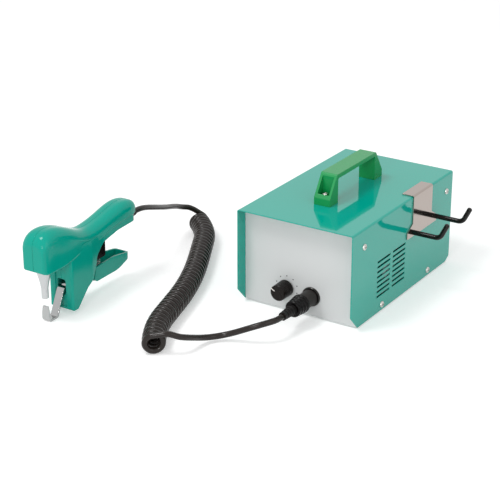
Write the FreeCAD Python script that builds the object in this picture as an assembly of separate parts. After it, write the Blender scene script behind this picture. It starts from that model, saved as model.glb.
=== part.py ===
import FreeCAD
import Part
import math
import os
from FreeCAD import Vector

# Ultrasonic point sealer: a sheet-metal power unit, a coiled lead and a squeeze-action hand piece.
# Millimetres, +Z up. The floor is at Z = 0, the power unit stands on the origin and its panel faces -Y.

# Power unit case
CASE_W = 150.0
CASE_D = 247.0
CASE_H = 116.0
SHEET = 1.2
BEND = 2.4
FIT = 0.1
FOOT_CLEAR = 1.5
FRONT_CHAMFER_Y = 16.0
FRONT_CHAMFER_Z = 17.0
REAR_CHAMFER_Y = 9.0
REAR_CHAMFER_Z = 5.0
PANEL_RECESS = 15.5
PANEL_T = 1.0
REAR_RECESS = 5.0

# Side vents, two columns of slots in each wall
VENT_COLUMNS = (-64.0, -27.0)
VENT_ROWS = 8
VENT_LONG = 31.0
VENT_HIGH = 2.6
VENT_PITCH = 6.15
VENT_LOWEST = 20.5

# Screws through the side walls
SIDE_SCREW_R = 2.0
SIDE_HEAD_R = 3.8
SIDE_HEAD_H = 2.2
SIDE_SCREW_LONG = 8.0
HOLE_CLEAR = 0.15
UPPER_SCREW_SETBACK = 11.0
UPPER_SCREW_DROP = 21.5
LOWER_SCREW_YS = (-51.0, 65.0)
LOWER_SCREW_UP = 7.0
LIP_HIGH = 14.0
LIP_FRONT_SETBACK = 15.0
LIP_REAR_SETBACK = 14.5
FLANGE_LONG = 22.0
FLANGE_HIGH = 24.0

# Rubber feet
FOOT_R = 8.0
FOOT_STEM_R = 2.5
FOOT_CAP_R = 4.0
FOOT_CAP_H = 1.5
FOOT_INSET = 22.0

# Carry handle
HANDLE_W = 21.0
HANDLE_LONG = 124.0
HANDLE_TOP_LONG = 92.0
HANDLE_H = 34.5
HANDLE_SKIRT = 8.5
HANDLE_BAR = 5.0
HANDLE_INNER_WALL = 3.8
HANDLE_SIDE_WALL = 3.0
HANDLE_RIM = 2.6
HANDLE_FLOOR = 5.0
HANDLE_ROUND = 2.2
HANDLE_SCREW_R = 2.0
HANDLE_HEAD_R = 3.6
HANDLE_HEAD_H = 2.4
NUT_ACROSS = 8.0
NUT_H = 3.2

# Hook bracket and its two rods
BRACKET_T = 1.5
BRACKET_YS = (18.5, 66.5)
BRACKET_EAR_YS = (5.0, 80.0)
BRACKET_FLANGE = 14.0
BRACKET_DROP = 49.0
BRACKET_EAR_TOP = 8.0
BRACKET_EAR_SLOPE = 8.0
BRACKET_BEND = 2.5
ROD_R = 3.0
ROD_STUD_R = 2.5
ROD_REACH = 37.0
ROD_TIP = 21.0
ROD_TIP_ANGLE = 64.0
ROD_BEND = 9.0
ROD_YS = (14.0, 74.0)
ROD_DROP = 41.5
ROD_TIP_ROUND = 1.8
ROD_NUT_H = 4.0

# Timer dial
KNOB_X = -17.8
KNOB_Z = 29.0
KNOB_R = 10.0
KNOB_LONG = 18.0
KNOB_TAPER = 0.4
KNOB_RIM = 0.9
KNOB_CROWN = 3.0
KNOB_RECESS = 1.6
KNOB_GAP = 2.5
KNOB_FLUTES = 30
KNOB_FLUTE = 0.5
KNOB_POINTER_ANGLE = 153.0
KNOB_POINTER_W = 1.4
KNOB_POINTER_DEEP = 0.5
SHAFT_R = 3.0
SHAFT_CLEAR = 0.06
BUSHING_R = 4.5
POT_R = 12.0
POT_LONG = 12.0
TIMER_NUT_ACROSS = 12.0
TIMER_NUT_H = 2.0

# Output socket and the plug in it
SOCKET_X = 15.0
SOCKET_Z = 25.5
SOCKET_FLANGE_R = 11.5
SOCKET_FLANGE_T = 2.4
SOCKET_BARREL_R = 7.8
SOCKET_BORE_R = 6.4
SOCKET_NOSE = 11.0
SOCKET_BACK_R = 8.2
SOCKET_BACK = 16.0
SOCKET_NUT_ACROSS = 21.0
SOCKET_NUT_H = 3.0
SLEEVE_WALL = 1.3
SLEEVE_CLEAR = 0.4
SLEEVE_LONG = 18.2
SLEEVE_GAP = 0.4
SLEEVE_SEAT = 5.0
PLUG_NECK_R = 7.2
PLUG_NECK_CLEAR = 0.08
PLUG_CORE_CLEAR = 0.3
PLUG_CORE_GAP = 1.0
PLUG_SHELL_R = 11.2
PLUG_GROOVE = 0.8
PLUG_SHELL_LONG = 20.5
PLUG_SHELL_RINGS = 4
BOOT_LONG = 21.0
BOOT_ROOT_R = 6.2
BOOT_TIP_R = 5.0
BOOT_RIBS = 5
BOOT_RIB_DEEP = 0.7

# Mains inlet, fuse holder and rocker on the rear wall
INLET_SIDE_GAP = 37.0
INLET_X = INLET_SIDE_GAP - CASE_W / 2
INLET_Z = 34.0
INLET_FLANGE_W = 50.0
INLET_FLANGE_H = 24.0
INLET_FLANGE_T = 2.0
INLET_BODY_W = 28.0
INLET_BODY_H = 20.0
INLET_DEEP = 24.0
INLET_WELL_W = 24.0
INLET_WELL_H = 16.4
INLET_WELL_DEEP = 16.0
INLET_PIN_W = 2.0
INLET_PIN_H = 4.0
INLET_PIN_LONG = 12.0
INLET_PIN_PITCH = 7.0
INLET_SCREW_PITCH = 40.0
INLET_SCREW_R = 1.5
INLET_SCREW_LONG = 7.0
INLET_HEAD_R = 2.7
INLET_HEAD_H = 1.6
SWITCH_X = 18.0
SWITCH_Z = 34.0
SWITCH_W = 15.0
SWITCH_H = 23.0
SWITCH_BODY_W = 13.0
SWITCH_BODY_H = 20.6
SWITCH_FRAME_T = 2.0
SWITCH_DEEP = 18.0
SWITCH_WELL_W = 11.4
SWITCH_WELL_H = 18.6
SWITCH_WELL_DEEP = 9.0
ROCKER_W = 10.8
ROCKER_HALF = 8.2
ROCKER_PROUD = 5.4
ROCKER_DISH = 1.7
ROCKER_TILT = 9.0
ROCKER_PIN_R = 1.2
ROCKER_PIN_CLEAR = 0.06
ROCKER_PIN_PROUD = 0.6
FUSE_X = 50.0
FUSE_Z = 34.0
FUSE_FLANGE_R = 9.0
FUSE_CAP_R = 7.0
FUSE_CAP_LONG = 7.0
FUSE_BODY_R = 6.0
FUSE_DEEP = 32.0
FUSE_SLOT_W = 1.6
FUSE_SLOT_DEEP = 1.8
FUSE_FLANGE_T = 2.0

# Electronics inside the case
CORE_SIDE_GAP = 11.2
CORE_SETBACK = 63.5
CORE_W = 57.0
CORE_D = 34.0
CORE_H = 48.0
CORE_LEG = 9.5
WINDING_GAP = 0.4
WINDING_OUT = 9.0
BOARD_SIDE_GAP = 3.7
BOARD_CORE_GAP = 1.5
BOARD_SETBACK = 98.5
BOARD_D = 120.0
BOARD_T = 1.6
SPACER_R = 3.5
SPACER_H = 8.0
SPACER_INSET = 6.0
SINK_MARGIN = 7.0
SINK_D = 40.0
SINK_H = 34.0
SINK_BASE = 5.0
SINK_FINS = 7
SINK_FIN_T = 2.0
CAPACITOR_R = 11.0
CAPACITOR_H = 36.0
CAPACITOR_PITCH = 28.0
CAPACITOR_BEHIND = 30.0
COIL_CORE_SIDE_GAP = 18.7
COIL_CORE_SETBACK = 67.0
COIL_CORE_R = 19.0
COIL_CORE_BORE_R = 9.0
COIL_CORE_H = 16.0

# Hand piece: its own horn axis is placed here, and it points along -Y
HAND_X = -231.0
HAND_Y = -280.0
HEAD_BOTTOM = 65.0
LEG_FRONT = 28.0
LEG_FOOT = 5.5
LEG_HALF = 17.0
BELLY_HALF = 13.4
BELLY_END = 157.0
SHELL_ROUND_LOW = 2.4
SHELL_ROUND_SHARE = 0.72
# Head and grip sections: distance behind the horn axis, half width, underside, top
GRIP_SECTIONS = (
    (-17.5, 12.0, 69.0, 97.0),
    (-15.5, 15.6, 66.4, 103.5),
    (-10.5, 17.5, 65.2, 109.0),
    (0.0, 18.0, 65.0, 112.5),
    (16.0, 18.0, 65.4, 111.0),
    (33.0, 17.8, 68.0, 105.0),
    (49.0, 16.8, 71.0, 97.5),
    (64.0, 15.6, 71.5, 92.4),
    (82.0, 15.0, 73.2, 92.4),
    (108.0, 14.8, 78.4, 97.2),
    (134.0, 15.2, 82.2, 102.0),
    (148.0, 14.4, 82.6, 101.0),
    (BELLY_END, 11.6, 83.0, 97.6),
    (161.0, 7.0, 84.0, 93.0),
)
# Leg and belly outline, distance behind the horn axis, height, corner radius
LEG_OUTLINE = (
    (LEG_FRONT, LEG_FOOT, 2.0),
    (37.0, LEG_FOOT, 3.0),
    (56.0, 25.0, 6.0),
    (66.0, 31.0, 6.0),
    (73.5, 44.0, 12.0),
    (77.0, 57.0, 10.0),
    (92.0, 68.0, 20.0),
    (120.0, 73.5, 30.0),
    (BELLY_END, 75.0, 2.0),
    (BELLY_END, 88.0, 0.0),
    (110.0, 86.0, 0.0),
    (84.0, 80.0, 0.0),
    (LEG_FRONT, 80.0, 0.0),
)
ARCH_W = 16.0
ARCH_TOP = 57.0
ARCH_BOTTOM = 9.0
ARCH_DEEP = 1.2
SLOT_W = 12.0
SLOT_BOTTOM = 23.0
SLOT_TOP = 42.0
LEVER_BAY_HALF = 8.0
LEVER_BAY_FRONT = 31.0
LEVER_BAY_REAR = 92.0
LEVER_BAY_BOTTOM = 24.0
LEVER_BAY_TOP = 50.0
WIRE_WAY_R = 4.5
WIRE_WAY_START = (8.0, 84.0)
WIRE_WAY_KNEE = (124.0, 88.0)
SHELL_SCREW_R = 1.6
SHELL_SCREW_HEAD_R = 3.0
SHELL_SCREW_HEAD_H = 2.0
SHELL_SCREW_SHORT = 1.0
SHELL_SCREW_PLACES = ((22.0, 99.0), (34.0, 58.0), (72.0, 78.0), (140.0, 95.0))
SHELL_SCREW_SEAT = (13.0, 13.0, 11.0, 9.0)

# Horn and transducer on one upright axis
HORN_TIP_Z = 29.6
HORN_TIP_R = 4.1
HORN_STRAIGHT = 12.0
HORN_ROOT_Z = 66.0
HORN_ROOT_R = 10.0
HORN_STEPS = 7
FLANGE_R = 14.6
FLANGE_Z = 71.0
FLANGE_T = 3.0
FRONT_MASS_R = 11.0
FRONT_MASS_TOP = 80.0
PIEZO_R = 10.0
PIEZO_T = 2.4
PIEZO_COUNT = 4
PIEZO_BORE_R = 4.0
BACK_MASS_R = 10.4
BACK_MASS_H = 12.0
BOLT_R = 3.0
BOLT_HEAD_R = 5.0
BOLT_HEAD_H = 3.4
HORN_CLEAR = 1.4

# Levers: the trigger's nose presses the anvil lever's tail, both on equal arms
ANVIL_PIVOT = (38.0, 31.0)
TRIGGER_PIVOT = (62.0, 33.0)
PIN_R = 2.0
PIN_HALF = 14.0
PIN_CLEAR = 0.05
EYE_R = 5.0
BAR_T = 2.4
BAR_W = 10.0
ANVIL_TIP_W = 7.0
ANVIL_TIP_Z = 19.1
ANVIL_TAPER = 9.0
ANVIL_TAIL = 13.5
# Anvil bar centre line in front of its pivot: distance behind the horn axis, height, bend radius
ANVIL_LINE = (
    (28.5, 31.0, 4.0),
    (14.2, 1.2, 4.0),
    (0.0, 1.2, 3.2),
)
NOSE_R = 2.2
NOSE_HALF = 4.0
NOSE_GAP = 0.35
TONGUE_HALF = 6.5
TRIGGER_HALF = 11.0
TRIGGER_WALL = 2.2
TRIGGER_LOW = 22.0
TRIGGER_END_ROUND = 8.5
# Trigger side outline, from the front lower corner round the end and back along the rim
TRIGGER_OUTLINE = (
    (76.0, 25.5, 3.0),
    (80.0, TRIGGER_LOW, 5.0),
    (121.0, 22.4, 40.0),
    (146.0, 31.0, 4.0),
    (145.0, 36.5, 2.5),
    (114.0, 41.5, 30.0),
    (79.5, 39.8, 2.0),
)
PAD_YS = (77.5, 83.0)
PAD_TOP = 40.0

# Trigger switch, its plunger and the return spring
SWITCH_BLOCK_HALF = 7.0
SWITCH_BLOCK_YS = (77.0, 103.0)
SWITCH_BLOCK_ZS = (46.0, 72.0)
PLUNGER_Y = 80.0
PLUNGER_R = 2.0
PLUNGER_LONG = 12.0
PLUNGER_GAP = 0.3
PLUNGER_CLEAR = 0.08
PLUNGER_STROKE = 5.6
SPRING_Y = 94.0
SPRING_R = 4.0
SPRING_WIRE_R = 0.5
SPRING_TURNS = 6

# Cord
CORD_R = 3.5
RELIEF_Z = 77.5
RELIEF_LONG = 12.0
RELIEF_ROOT_R = 5.6
RELIEF_TIP_R = 4.6
RELIEF_STEM = 10.0
RELIEF_STEM_R = 4.0
COIL_R = 10.0
COIL_TURNS = 41
COIL_LAST_TURN = 335.0
CORD_SIDES = 6
# Axis of the coil on the floor, from the plug's end to the hand piece's end
COIL_AXIS = (
    (-79.0, -283.0),
    (-91.0, -266.0),
    (-106.0, -236.0),
    (-116.0, -201.0),
    (-130.0, -152.0),
    (-152.0, -98.0),
    (-184.0, -37.0),
    (-211.0, 13.0),
    (-239.0, 36.0),
)
# Free stretches, between the piece each leaves and the run into the coil's straight end
COIL_RUN = 10.0
LEAD_POINTS = (
    (15.0, -179.6, 25.5),
    (12.2, -188.6, 25.6),
    (6.6, -196.6, 24.6),
    (-1.2, -202.4, 21.8),
    (-10.8, -206.2, 17.6),
    (-21.4, -208.6, 12.4),
    (-31.6, -211.6, 8.2),
    (-40.2, -217.6, 6.2),
    (-46.6, -226.0, 6.6),
    (-50.2, -236.2, 9.4),
    (-51.4, -247.4, 13.8),
    (-53.0, -258.6, 18.2),
    (-57.2, -268.0, 21.8),
)
TAIL_POINTS = (
    (-231.0, -99.5, 77.5),
    (-231.8, -85.0, 74.0),
    (-234.4, -66.5, 67.4),
    (-239.0, -46.5, 59.8),
    (-244.4, -26.5, 52.2),
    (-249.4, -7.0, 45.6),
    (-252.6, 8.4, 40.0),
    (-252.2, 20.2, 35.2),
)

# Places worked out from the sizes above
COVER_BOTTOM = FOOT_CLEAR
COVER_TOP = FOOT_CLEAR + CASE_H
COVER_FRONT = -CASE_D / 2
COVER_REAR = CASE_D / 2
WALL_OUT = CASE_W / 2
WALL_IN = WALL_OUT - SHEET
TRAY_HALF = WALL_IN - FIT
BASE_TOP = COVER_BOTTOM + SHEET
WALL_TOP = COVER_TOP - SHEET - FIT
PANEL_FACE = COVER_FRONT + PANEL_RECESS
FRONT_WALL = PANEL_FACE + PANEL_T
FRONT_WALL_IN = FRONT_WALL + SHEET
REAR_WALL = COVER_REAR - REAR_RECESS
REAR_WALL_IN = REAR_WALL - SHEET
UPPER_SCREW_Z = COVER_TOP - UPPER_SCREW_DROP
LOWER_SCREW_Z = COVER_BOTTOM + LOWER_SCREW_UP
SIDE_SCREWS = (
    (PANEL_FACE + UPPER_SCREW_SETBACK, UPPER_SCREW_Z),
    (REAR_WALL - UPPER_SCREW_SETBACK, UPPER_SCREW_Z),
    (LOWER_SCREW_YS[0], LOWER_SCREW_Z),
    (LOWER_SCREW_YS[1], LOWER_SCREW_Z),
)
HANDLE_SCREW_Y = HANDLE_LONG / 2 - HANDLE_RIM - HANDLE_HEAD_R - 1.4
ROD_Z = COVER_TOP - ROD_DROP
KNOB_BACK = PANEL_FACE - KNOB_GAP
KNOB_FACE = KNOB_BACK - KNOB_LONG
SLEEVE_BORE_R = SOCKET_BARREL_R + SLEEVE_CLEAR
SLEEVE_R = SLEEVE_BORE_R + SLEEVE_WALL
PLUG_CORE_R = SOCKET_BORE_R - PLUG_CORE_CLEAR
SLEEVE_FRONT = PANEL_FACE - SOCKET_FLANGE_T - SLEEVE_GAP
SLEEVE_REAR = SLEEVE_FRONT - SLEEVE_LONG
SHELL_FRONT = SLEEVE_REAR - SLEEVE_GAP
BOOT_FRONT = SHELL_FRONT - PLUG_SHELL_LONG
BOOT_END = BOOT_FRONT - BOOT_LONG
CORE_X = -(TRAY_HALF - CORE_SIDE_GAP - CORE_W / 2)
CORE_Y = REAR_WALL - CORE_SETBACK
BOARD_LEFT = CORE_X + CORE_W / 2 + BOARD_CORE_GAP
BOARD_RIGHT = TRAY_HALF - BOARD_SIDE_GAP
BOARD_W = BOARD_RIGHT - BOARD_LEFT
BOARD_X = (BOARD_LEFT + BOARD_RIGHT) / 2
BOARD_Y = REAR_WALL - BOARD_SETBACK
BOARD_Z = BASE_TOP + SPACER_H
SINK_W = BOARD_W - 2 * SINK_MARGIN
CAPACITOR_XS = (BOARD_X - CAPACITOR_PITCH / 2, BOARD_X + CAPACITOR_PITCH / 2)
CAPACITOR_Y = BOARD_Y + CAPACITOR_BEHIND
COIL_CORE_X = -(TRAY_HALF - COIL_CORE_SIDE_GAP - COIL_CORE_R)
COIL_CORE_Y = FRONT_WALL + COIL_CORE_SETBACK
NOSE_Y = (ANVIL_PIVOT[0] + TRIGGER_PIVOT[0]) / 2
NOSE_Z = ANVIL_PIVOT[1] + BAR_T / 2 + NOSE_GAP + NOSE_R
CORD_START = Vector(HAND_X, HAND_Y + BELLY_END + RELIEF_LONG, RELIEF_Z)
LEAD_START = Vector(SOCKET_X, BOOT_END, SOCKET_Z)
COIL_Z = COIL_R + CORD_R

X_AXIS = Vector(1, 0, 0)
Y_AXIS = Vector(0, 1, 0)
Z_AXIS = Vector(0, 0, 1)
TOOL_OVER = 2.0


# Drawing helpers

def rounded_wire(corners, place):
    """Closed outline through (u, v, radius) corners: straight runs and tangent arcs, laid out by place."""
    spots = [Vector(corner[0], corner[1], 0) for corner in corners]
    radii = [corner[2] if len(corner) > 2 else 0.0 for corner in corners]
    turns = []
    for index, spot in enumerate(spots):
        back = (spots[index - 1] - spot).normalize()
        ahead = (spots[(index + 1) % len(spots)] - spot).normalize()
        half = back.getAngle(ahead) / 2
        cut = radii[index] / math.tan(half)
        inward = back + ahead
        middle = spot
        if radii[index] > 0:
            inward.normalize()
            middle = spot + inward * (radii[index] / math.sin(half) - radii[index])
        turns.append((spot + back * cut, middle, spot + ahead * cut))
    edges = []
    for index, (start, middle, end) in enumerate(turns):
        if radii[index] > 0:
            edges.append(Part.Arc(place(start), place(middle), place(end)).toShape())
        following = turns[(index + 1) % len(turns)][0]
        if (following - end).Length > 1e-6:
            edges.append(Part.LineSegment(place(end), place(following)).toShape())
    return Part.Wire(edges)


def plate_yz(corners, x0, x1):
    """Side outline of (y, z, radius) corners, as thick as x0 to x1."""
    wire = rounded_wire(corners, lambda p: Vector(x0, p.x, p.y))
    return Part.Face(wire).extrude(Vector(x1 - x0, 0, 0))


def plate_xz(corners, y0, y1):
    """Front outline of (x, z, radius) corners, as thick as y0 to y1."""
    wire = rounded_wire(corners, lambda p: Vector(p.x, y0, p.y))
    return Part.Face(wire).extrude(Vector(0, y1 - y0, 0))


def plate_xy(corners, z0, z1):
    """Plan outline of (x, y, radius) corners, as thick as z0 to z1."""
    wire = rounded_wire(corners, lambda p: Vector(p.x, p.y, z0))
    return Part.Face(wire).extrude(Vector(0, 0, z1 - z0))


def oblong(u0, u1, v0, v1, radius=0.0):
    """Corners of a rectangle with one radius."""
    return ((u0, v0, radius), (u1, v0, radius), (u1, v1, radius), (u0, v1, radius))


def block(x0, x1, y0, y1, z0, z1):
    """Plain block between two corners."""
    return Part.makeBox(x1 - x0, y1 - y0, z1 - z0, Vector(x0, y0, z0))


def rod(start, axis, radius, length):
    """Round bar from a start point along an axis."""
    return Part.makeCylinder(radius, length, start, axis)


def turned(profile, origin, axis, side):
    """Solid turned about an axis from (distance along it, radius) points."""
    spots = [origin + axis * along + side * radius for along, radius in profile]
    return Part.Face(Part.makePolygon(spots + spots[:1])).revolve(origin, axis, 360)


def prism(centre, axis, side, radius, length, faces):
    """Many-sided bar inside a circle, from a centre along an axis."""
    other = axis.cross(side)
    turn = [2 * math.pi * step / faces for step in range(faces + 1)]
    spots = [centre + side * (radius * math.cos(a)) + other * (radius * math.sin(a)) for a in turn]
    return Part.Face(Part.makePolygon(spots)).extrude(axis * length)


def hexagon_nut(centre, axis, side, across, height, bore):
    """Six-sided nut from its seat along an axis."""
    body = prism(centre, axis, side, across / 2 / math.cos(math.pi / 6), height, 6)
    return body.cut(rod(centre - axis, axis, bore, height + 2))


def pan_screw(seat, out, side, shank_r, shank, head_r, head_h):
    """Pan-head screw with few faces, its head on the seat and its shank the other way."""
    head = prism(seat, out, side, head_r, head_h, 12)
    crown = [edge for edge in head.Edges if (edge.CenterOfMass - seat).dot(out) > 0.9 * head_h]
    head = head.makeChamfer(0.4 * head_h, crown)
    return joined(head, prism(seat - out * shank, out, side, shank_r, shank, 8))


def joined(first, *others):
    """One solid of several that overlap or meet."""
    return first.multiFuse(list(others)).removeSplitter()


def mirrored(shape):
    """The same shape on the other side of the power unit."""
    return shape.mirror(Vector(0, 0, 0), X_AXIS)


def export(node, *solids):
    """Write one node's solids to its file."""
    shape = solids[0] if len(solids) == 1 else Part.makeCompound(list(solids))
    shape.exportStep("parts/" + node + ".step")


# Power unit: sheet metal

def side_holes(radius):
    """Cutters for the screws through both side walls."""
    long = CASE_W + 2 * TOOL_OVER
    start = -WALL_OUT - TOOL_OVER
    return [rod(Vector(start, y, z), X_AXIS, radius, long) for y, z in SIDE_SCREWS]


def corner_cut(y, inward, high):
    """Cutter for the sloped lower corner of both side walls."""
    slope = high / abs(inward)
    over = math.copysign(TOOL_OVER, inward)
    corners = (
        (y - over, COVER_BOTTOM + high + slope * TOOL_OVER),
        (y + inward + over, COVER_BOTTOM - slope * TOOL_OVER),
        (y - over, COVER_BOTTOM - slope * TOOL_OVER),
    )
    return plate_yz(corners, -WALL_OUT - TOOL_OVER, WALL_OUT + TOOL_OVER)


def vent_slots():
    """Cutters for the rows of cooling slots, through both walls."""
    slots = []
    for start in VENT_COLUMNS:
        for row in range(VENT_ROWS):
            z = VENT_LOWEST + row * VENT_PITCH
            outline = oblong(start, start + VENT_LONG, z, z + VENT_HIGH)
            slots.append(plate_yz(outline, -WALL_OUT - TOOL_OVER, WALL_OUT + TOOL_OVER))
    return slots


def cover():
    """Folded cover: top and two walls of one sheet, open at both ends."""
    profile = (
        (-WALL_OUT, COVER_BOTTOM), (-WALL_OUT, COVER_TOP, BEND),
        (WALL_OUT, COVER_TOP, BEND), (WALL_OUT, COVER_BOTTOM),
        (WALL_IN, COVER_BOTTOM), (WALL_IN, COVER_TOP - SHEET, BEND - SHEET),
        (-WALL_IN, COVER_TOP - SHEET, BEND - SHEET), (-WALL_IN, COVER_BOTTOM),
    )
    body = plate_xz(profile, COVER_FRONT, COVER_REAR)
    cutters = [
        corner_cut(COVER_FRONT, FRONT_CHAMFER_Y, FRONT_CHAMFER_Z),
        corner_cut(COVER_REAR, -REAR_CHAMFER_Y, REAR_CHAMFER_Z),
    ]
    cutters += vent_slots() + side_holes(SIDE_SCREW_R + HOLE_CLEAR)
    for y in ROD_YS:
        start = Vector(WALL_IN - TOOL_OVER, y, ROD_Z)
        cutters.append(rod(start, X_AXIS, ROD_STUD_R + HOLE_CLEAR, SHEET + 2 * TOOL_OVER))
    for y in (-HANDLE_SCREW_Y, HANDLE_SCREW_Y):
        start = Vector(0, y, COVER_TOP - SHEET - TOOL_OVER)
        cutters.append(rod(start, Z_AXIS, HANDLE_SCREW_R + HOLE_CLEAR, SHEET + 2 * TOOL_OVER))
    return body.cut(cutters)


def panel_holes():
    """Cutters for the dial bushing and the output socket."""
    start = PANEL_FACE - TOOL_OVER
    long = PANEL_T + SHEET + 2 * TOOL_OVER
    return [
        rod(Vector(KNOB_X, start, KNOB_Z), Y_AXIS, BUSHING_R + HOLE_CLEAR, long),
        rod(Vector(SOCKET_X, start, SOCKET_Z), Y_AXIS, SOCKET_BACK_R + HOLE_CLEAR, long),
    ]


def rear_holes():
    """Cutters for the inlet, the rocker's frame and the fuse holder."""
    y0 = REAR_WALL_IN - TOOL_OVER
    y1 = REAR_WALL + TOOL_OVER
    inlet_w = INLET_BODY_W / 2 + HOLE_CLEAR
    inlet_h = INLET_BODY_H / 2 + HOLE_CLEAR
    switch_w = SWITCH_BODY_W / 2 + HOLE_CLEAR
    switch_h = SWITCH_BODY_H / 2 + HOLE_CLEAR
    cutters = [
        block(INLET_X - inlet_w, INLET_X + inlet_w, y0, y1, INLET_Z - inlet_h, INLET_Z + inlet_h),
        block(SWITCH_X - switch_w, SWITCH_X + switch_w, y0, y1, SWITCH_Z - switch_h, SWITCH_Z + switch_h),
        rod(Vector(FUSE_X, y0, FUSE_Z), Y_AXIS, FUSE_BODY_R + HOLE_CLEAR, y1 - y0),
    ]
    for x in (INLET_X - INLET_SCREW_PITCH / 2, INLET_X + INLET_SCREW_PITCH / 2):
        cutters.append(rod(Vector(x, y0, INLET_Z), Y_AXIS, INLET_SCREW_R + HOLE_CLEAR, y1 - y0))
    return cutters


def foot_places():
    """Centres of the four feet under the base."""
    x = TRAY_HALF - FOOT_INSET
    ys = (FRONT_WALL + FOOT_INSET, REAR_WALL - FOOT_INSET)
    return [Vector(sign * x, y, 0) for sign in (-1, 1) for y in ys]


def chassis():
    """Bent tray: base, front wall and rear wall of one sheet, with side lips and screw flanges."""
    profile = (
        (FRONT_WALL, WALL_TOP), (FRONT_WALL, COVER_BOTTOM, BEND),
        (REAR_WALL, COVER_BOTTOM, BEND), (REAR_WALL, WALL_TOP),
        (REAR_WALL_IN, WALL_TOP), (REAR_WALL_IN, BASE_TOP, BEND - SHEET),
        (FRONT_WALL_IN, BASE_TOP, BEND - SHEET), (FRONT_WALL_IN, WALL_TOP),
    )
    tray = plate_yz(profile, -TRAY_HALF, TRAY_HALF)
    low = UPPER_SCREW_Z - FLANGE_HIGH / 2
    high = UPPER_SCREW_Z + FLANGE_HIGH / 2
    inner = TRAY_HALF - SHEET
    lip_front = FRONT_WALL + LIP_FRONT_SETBACK
    lip_rear = REAR_WALL - LIP_REAR_SETBACK
    sides = [
        block(inner, TRAY_HALF, lip_front, lip_rear, COVER_BOTTOM, COVER_BOTTOM + LIP_HIGH),
        block(inner, TRAY_HALF, FRONT_WALL, FRONT_WALL + FLANGE_LONG, low, high),
        block(inner, TRAY_HALF, REAR_WALL - FLANGE_LONG, REAR_WALL, low, high),
    ]
    tray = joined(tray, *sides, *[mirrored(side) for side in sides])
    cutters = side_holes(SIDE_SCREW_R + HOLE_CLEAR) + panel_holes() + rear_holes()
    corner = (
        (TRAY_HALF - BEND, WALL_TOP + TOOL_OVER), (TRAY_HALF - BEND, WALL_TOP), (TRAY_HALF, WALL_TOP - BEND),
        (TRAY_HALF + TOOL_OVER, WALL_TOP - BEND), (TRAY_HALF + TOOL_OVER, WALL_TOP + TOOL_OVER),
    )
    relief = plate_xz(corner, COVER_FRONT, COVER_REAR)
    cutters += [relief, mirrored(relief)]
    cutters += [rod(spot, Z_AXIS, FOOT_STEM_R + HOLE_CLEAR, BASE_TOP + TOOL_OVER) for spot in foot_places()]
    return tray.cut(cutters)


def front_panel():
    """Flat face plate on the front wall of the tray."""
    outline = oblong(-TRAY_HALF, TRAY_HALF, COVER_BOTTOM, WALL_TOP, BEND)
    return plate_xz(outline, PANEL_FACE, FRONT_WALL).cut(panel_holes())


def rubber_foot(spot):
    """Flat rubber foot with a stem and cap pushed through the base."""
    profile = (
        (0, 0), (0, FOOT_R - 0.8), (FOOT_CLEAR, FOOT_R), (FOOT_CLEAR, FOOT_STEM_R),
        (BASE_TOP, FOOT_STEM_R), (BASE_TOP, FOOT_CAP_R), (BASE_TOP + FOOT_CAP_H, FOOT_STEM_R),
        (BASE_TOP + FOOT_CAP_H, 0),
    )
    return turned(profile, spot, Z_AXIS, X_AXIS)


def cover_screws():
    """Eight pan-head screws, four on each wall."""
    screws = []
    for y, z in SIDE_SCREWS:
        seat = Vector(WALL_OUT, y, z)
        screw = pan_screw(seat, X_AXIS, Y_AXIS, SIDE_SCREW_R, SIDE_SCREW_LONG, SIDE_HEAD_R, SIDE_HEAD_H)
        screws += [screw, mirrored(screw)]
    return screws


# Power unit: handle and hooks

def carry_handle():
    """Strap handle with sloped hollow ends and a screw pocket in each."""
    half = HANDLE_LONG / 2
    top = HANDLE_TOP_LONG / 2
    inner = top - HANDLE_ROUND
    base = COVER_TOP
    outline = (
        (-half, base), (-half, base + HANDLE_SKIRT, HANDLE_ROUND), (-top, base + HANDLE_H, HANDLE_ROUND),
        (top, base + HANDLE_H, HANDLE_ROUND), (half, base + HANDLE_SKIRT, HANDLE_ROUND), (half, base),
        (inner, base), (inner, base + HANDLE_H - HANDLE_BAR, HANDLE_ROUND),
        (-inner, base + HANDLE_H - HANDLE_BAR, HANDLE_ROUND), (-inner, base),
    )
    body = plate_yz(outline, -HANDLE_W / 2, HANDLE_W / 2)
    rim = half - HANDLE_RIM
    wall = inner + HANDLE_INNER_WALL
    ceiling = base + HANDLE_H - HANDLE_BAR
    pocket = (
        (rim, base + HANDLE_FLOOR), (wall, base + HANDLE_FLOOR), (wall, ceiling - TOOL_OVER),
        (top + TOOL_OVER, ceiling + HANDLE_BAR), (rim, ceiling + HANDLE_BAR),
    )
    side = HANDLE_W / 2 - HANDLE_SIDE_WALL
    hollow = plate_yz(pocket, -side, side)
    cutters = [hollow, hollow.mirror(Vector(0, 0, 0), Y_AXIS)]
    for y in (-HANDLE_SCREW_Y, HANDLE_SCREW_Y):
        start = Vector(0, y, base - TOOL_OVER)
        cutters.append(rod(start, Z_AXIS, HANDLE_SCREW_R + HOLE_CLEAR, HANDLE_FLOOR + 2 * TOOL_OVER))
    return body.cut(cutters)


def handle_fixings():
    """Two screws through the handle and the cover, and the nuts under the cover."""
    screws, nuts = [], []
    shank = HANDLE_FLOOR + SHEET + NUT_H + 1.0
    for y in (-HANDLE_SCREW_Y, HANDLE_SCREW_Y):
        seat = Vector(0, y, COVER_TOP + HANDLE_FLOOR)
        screws.append(pan_screw(seat, Z_AXIS, X_AXIS, HANDLE_SCREW_R, shank, HANDLE_HEAD_R, HANDLE_HEAD_H))
        under = Vector(0, y, COVER_TOP - SHEET)
        nuts.append(hexagon_nut(under, -Z_AXIS, X_AXIS, NUT_ACROSS, NUT_H, HANDLE_SCREW_R + HOLE_CLEAR))
    return screws, nuts


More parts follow.
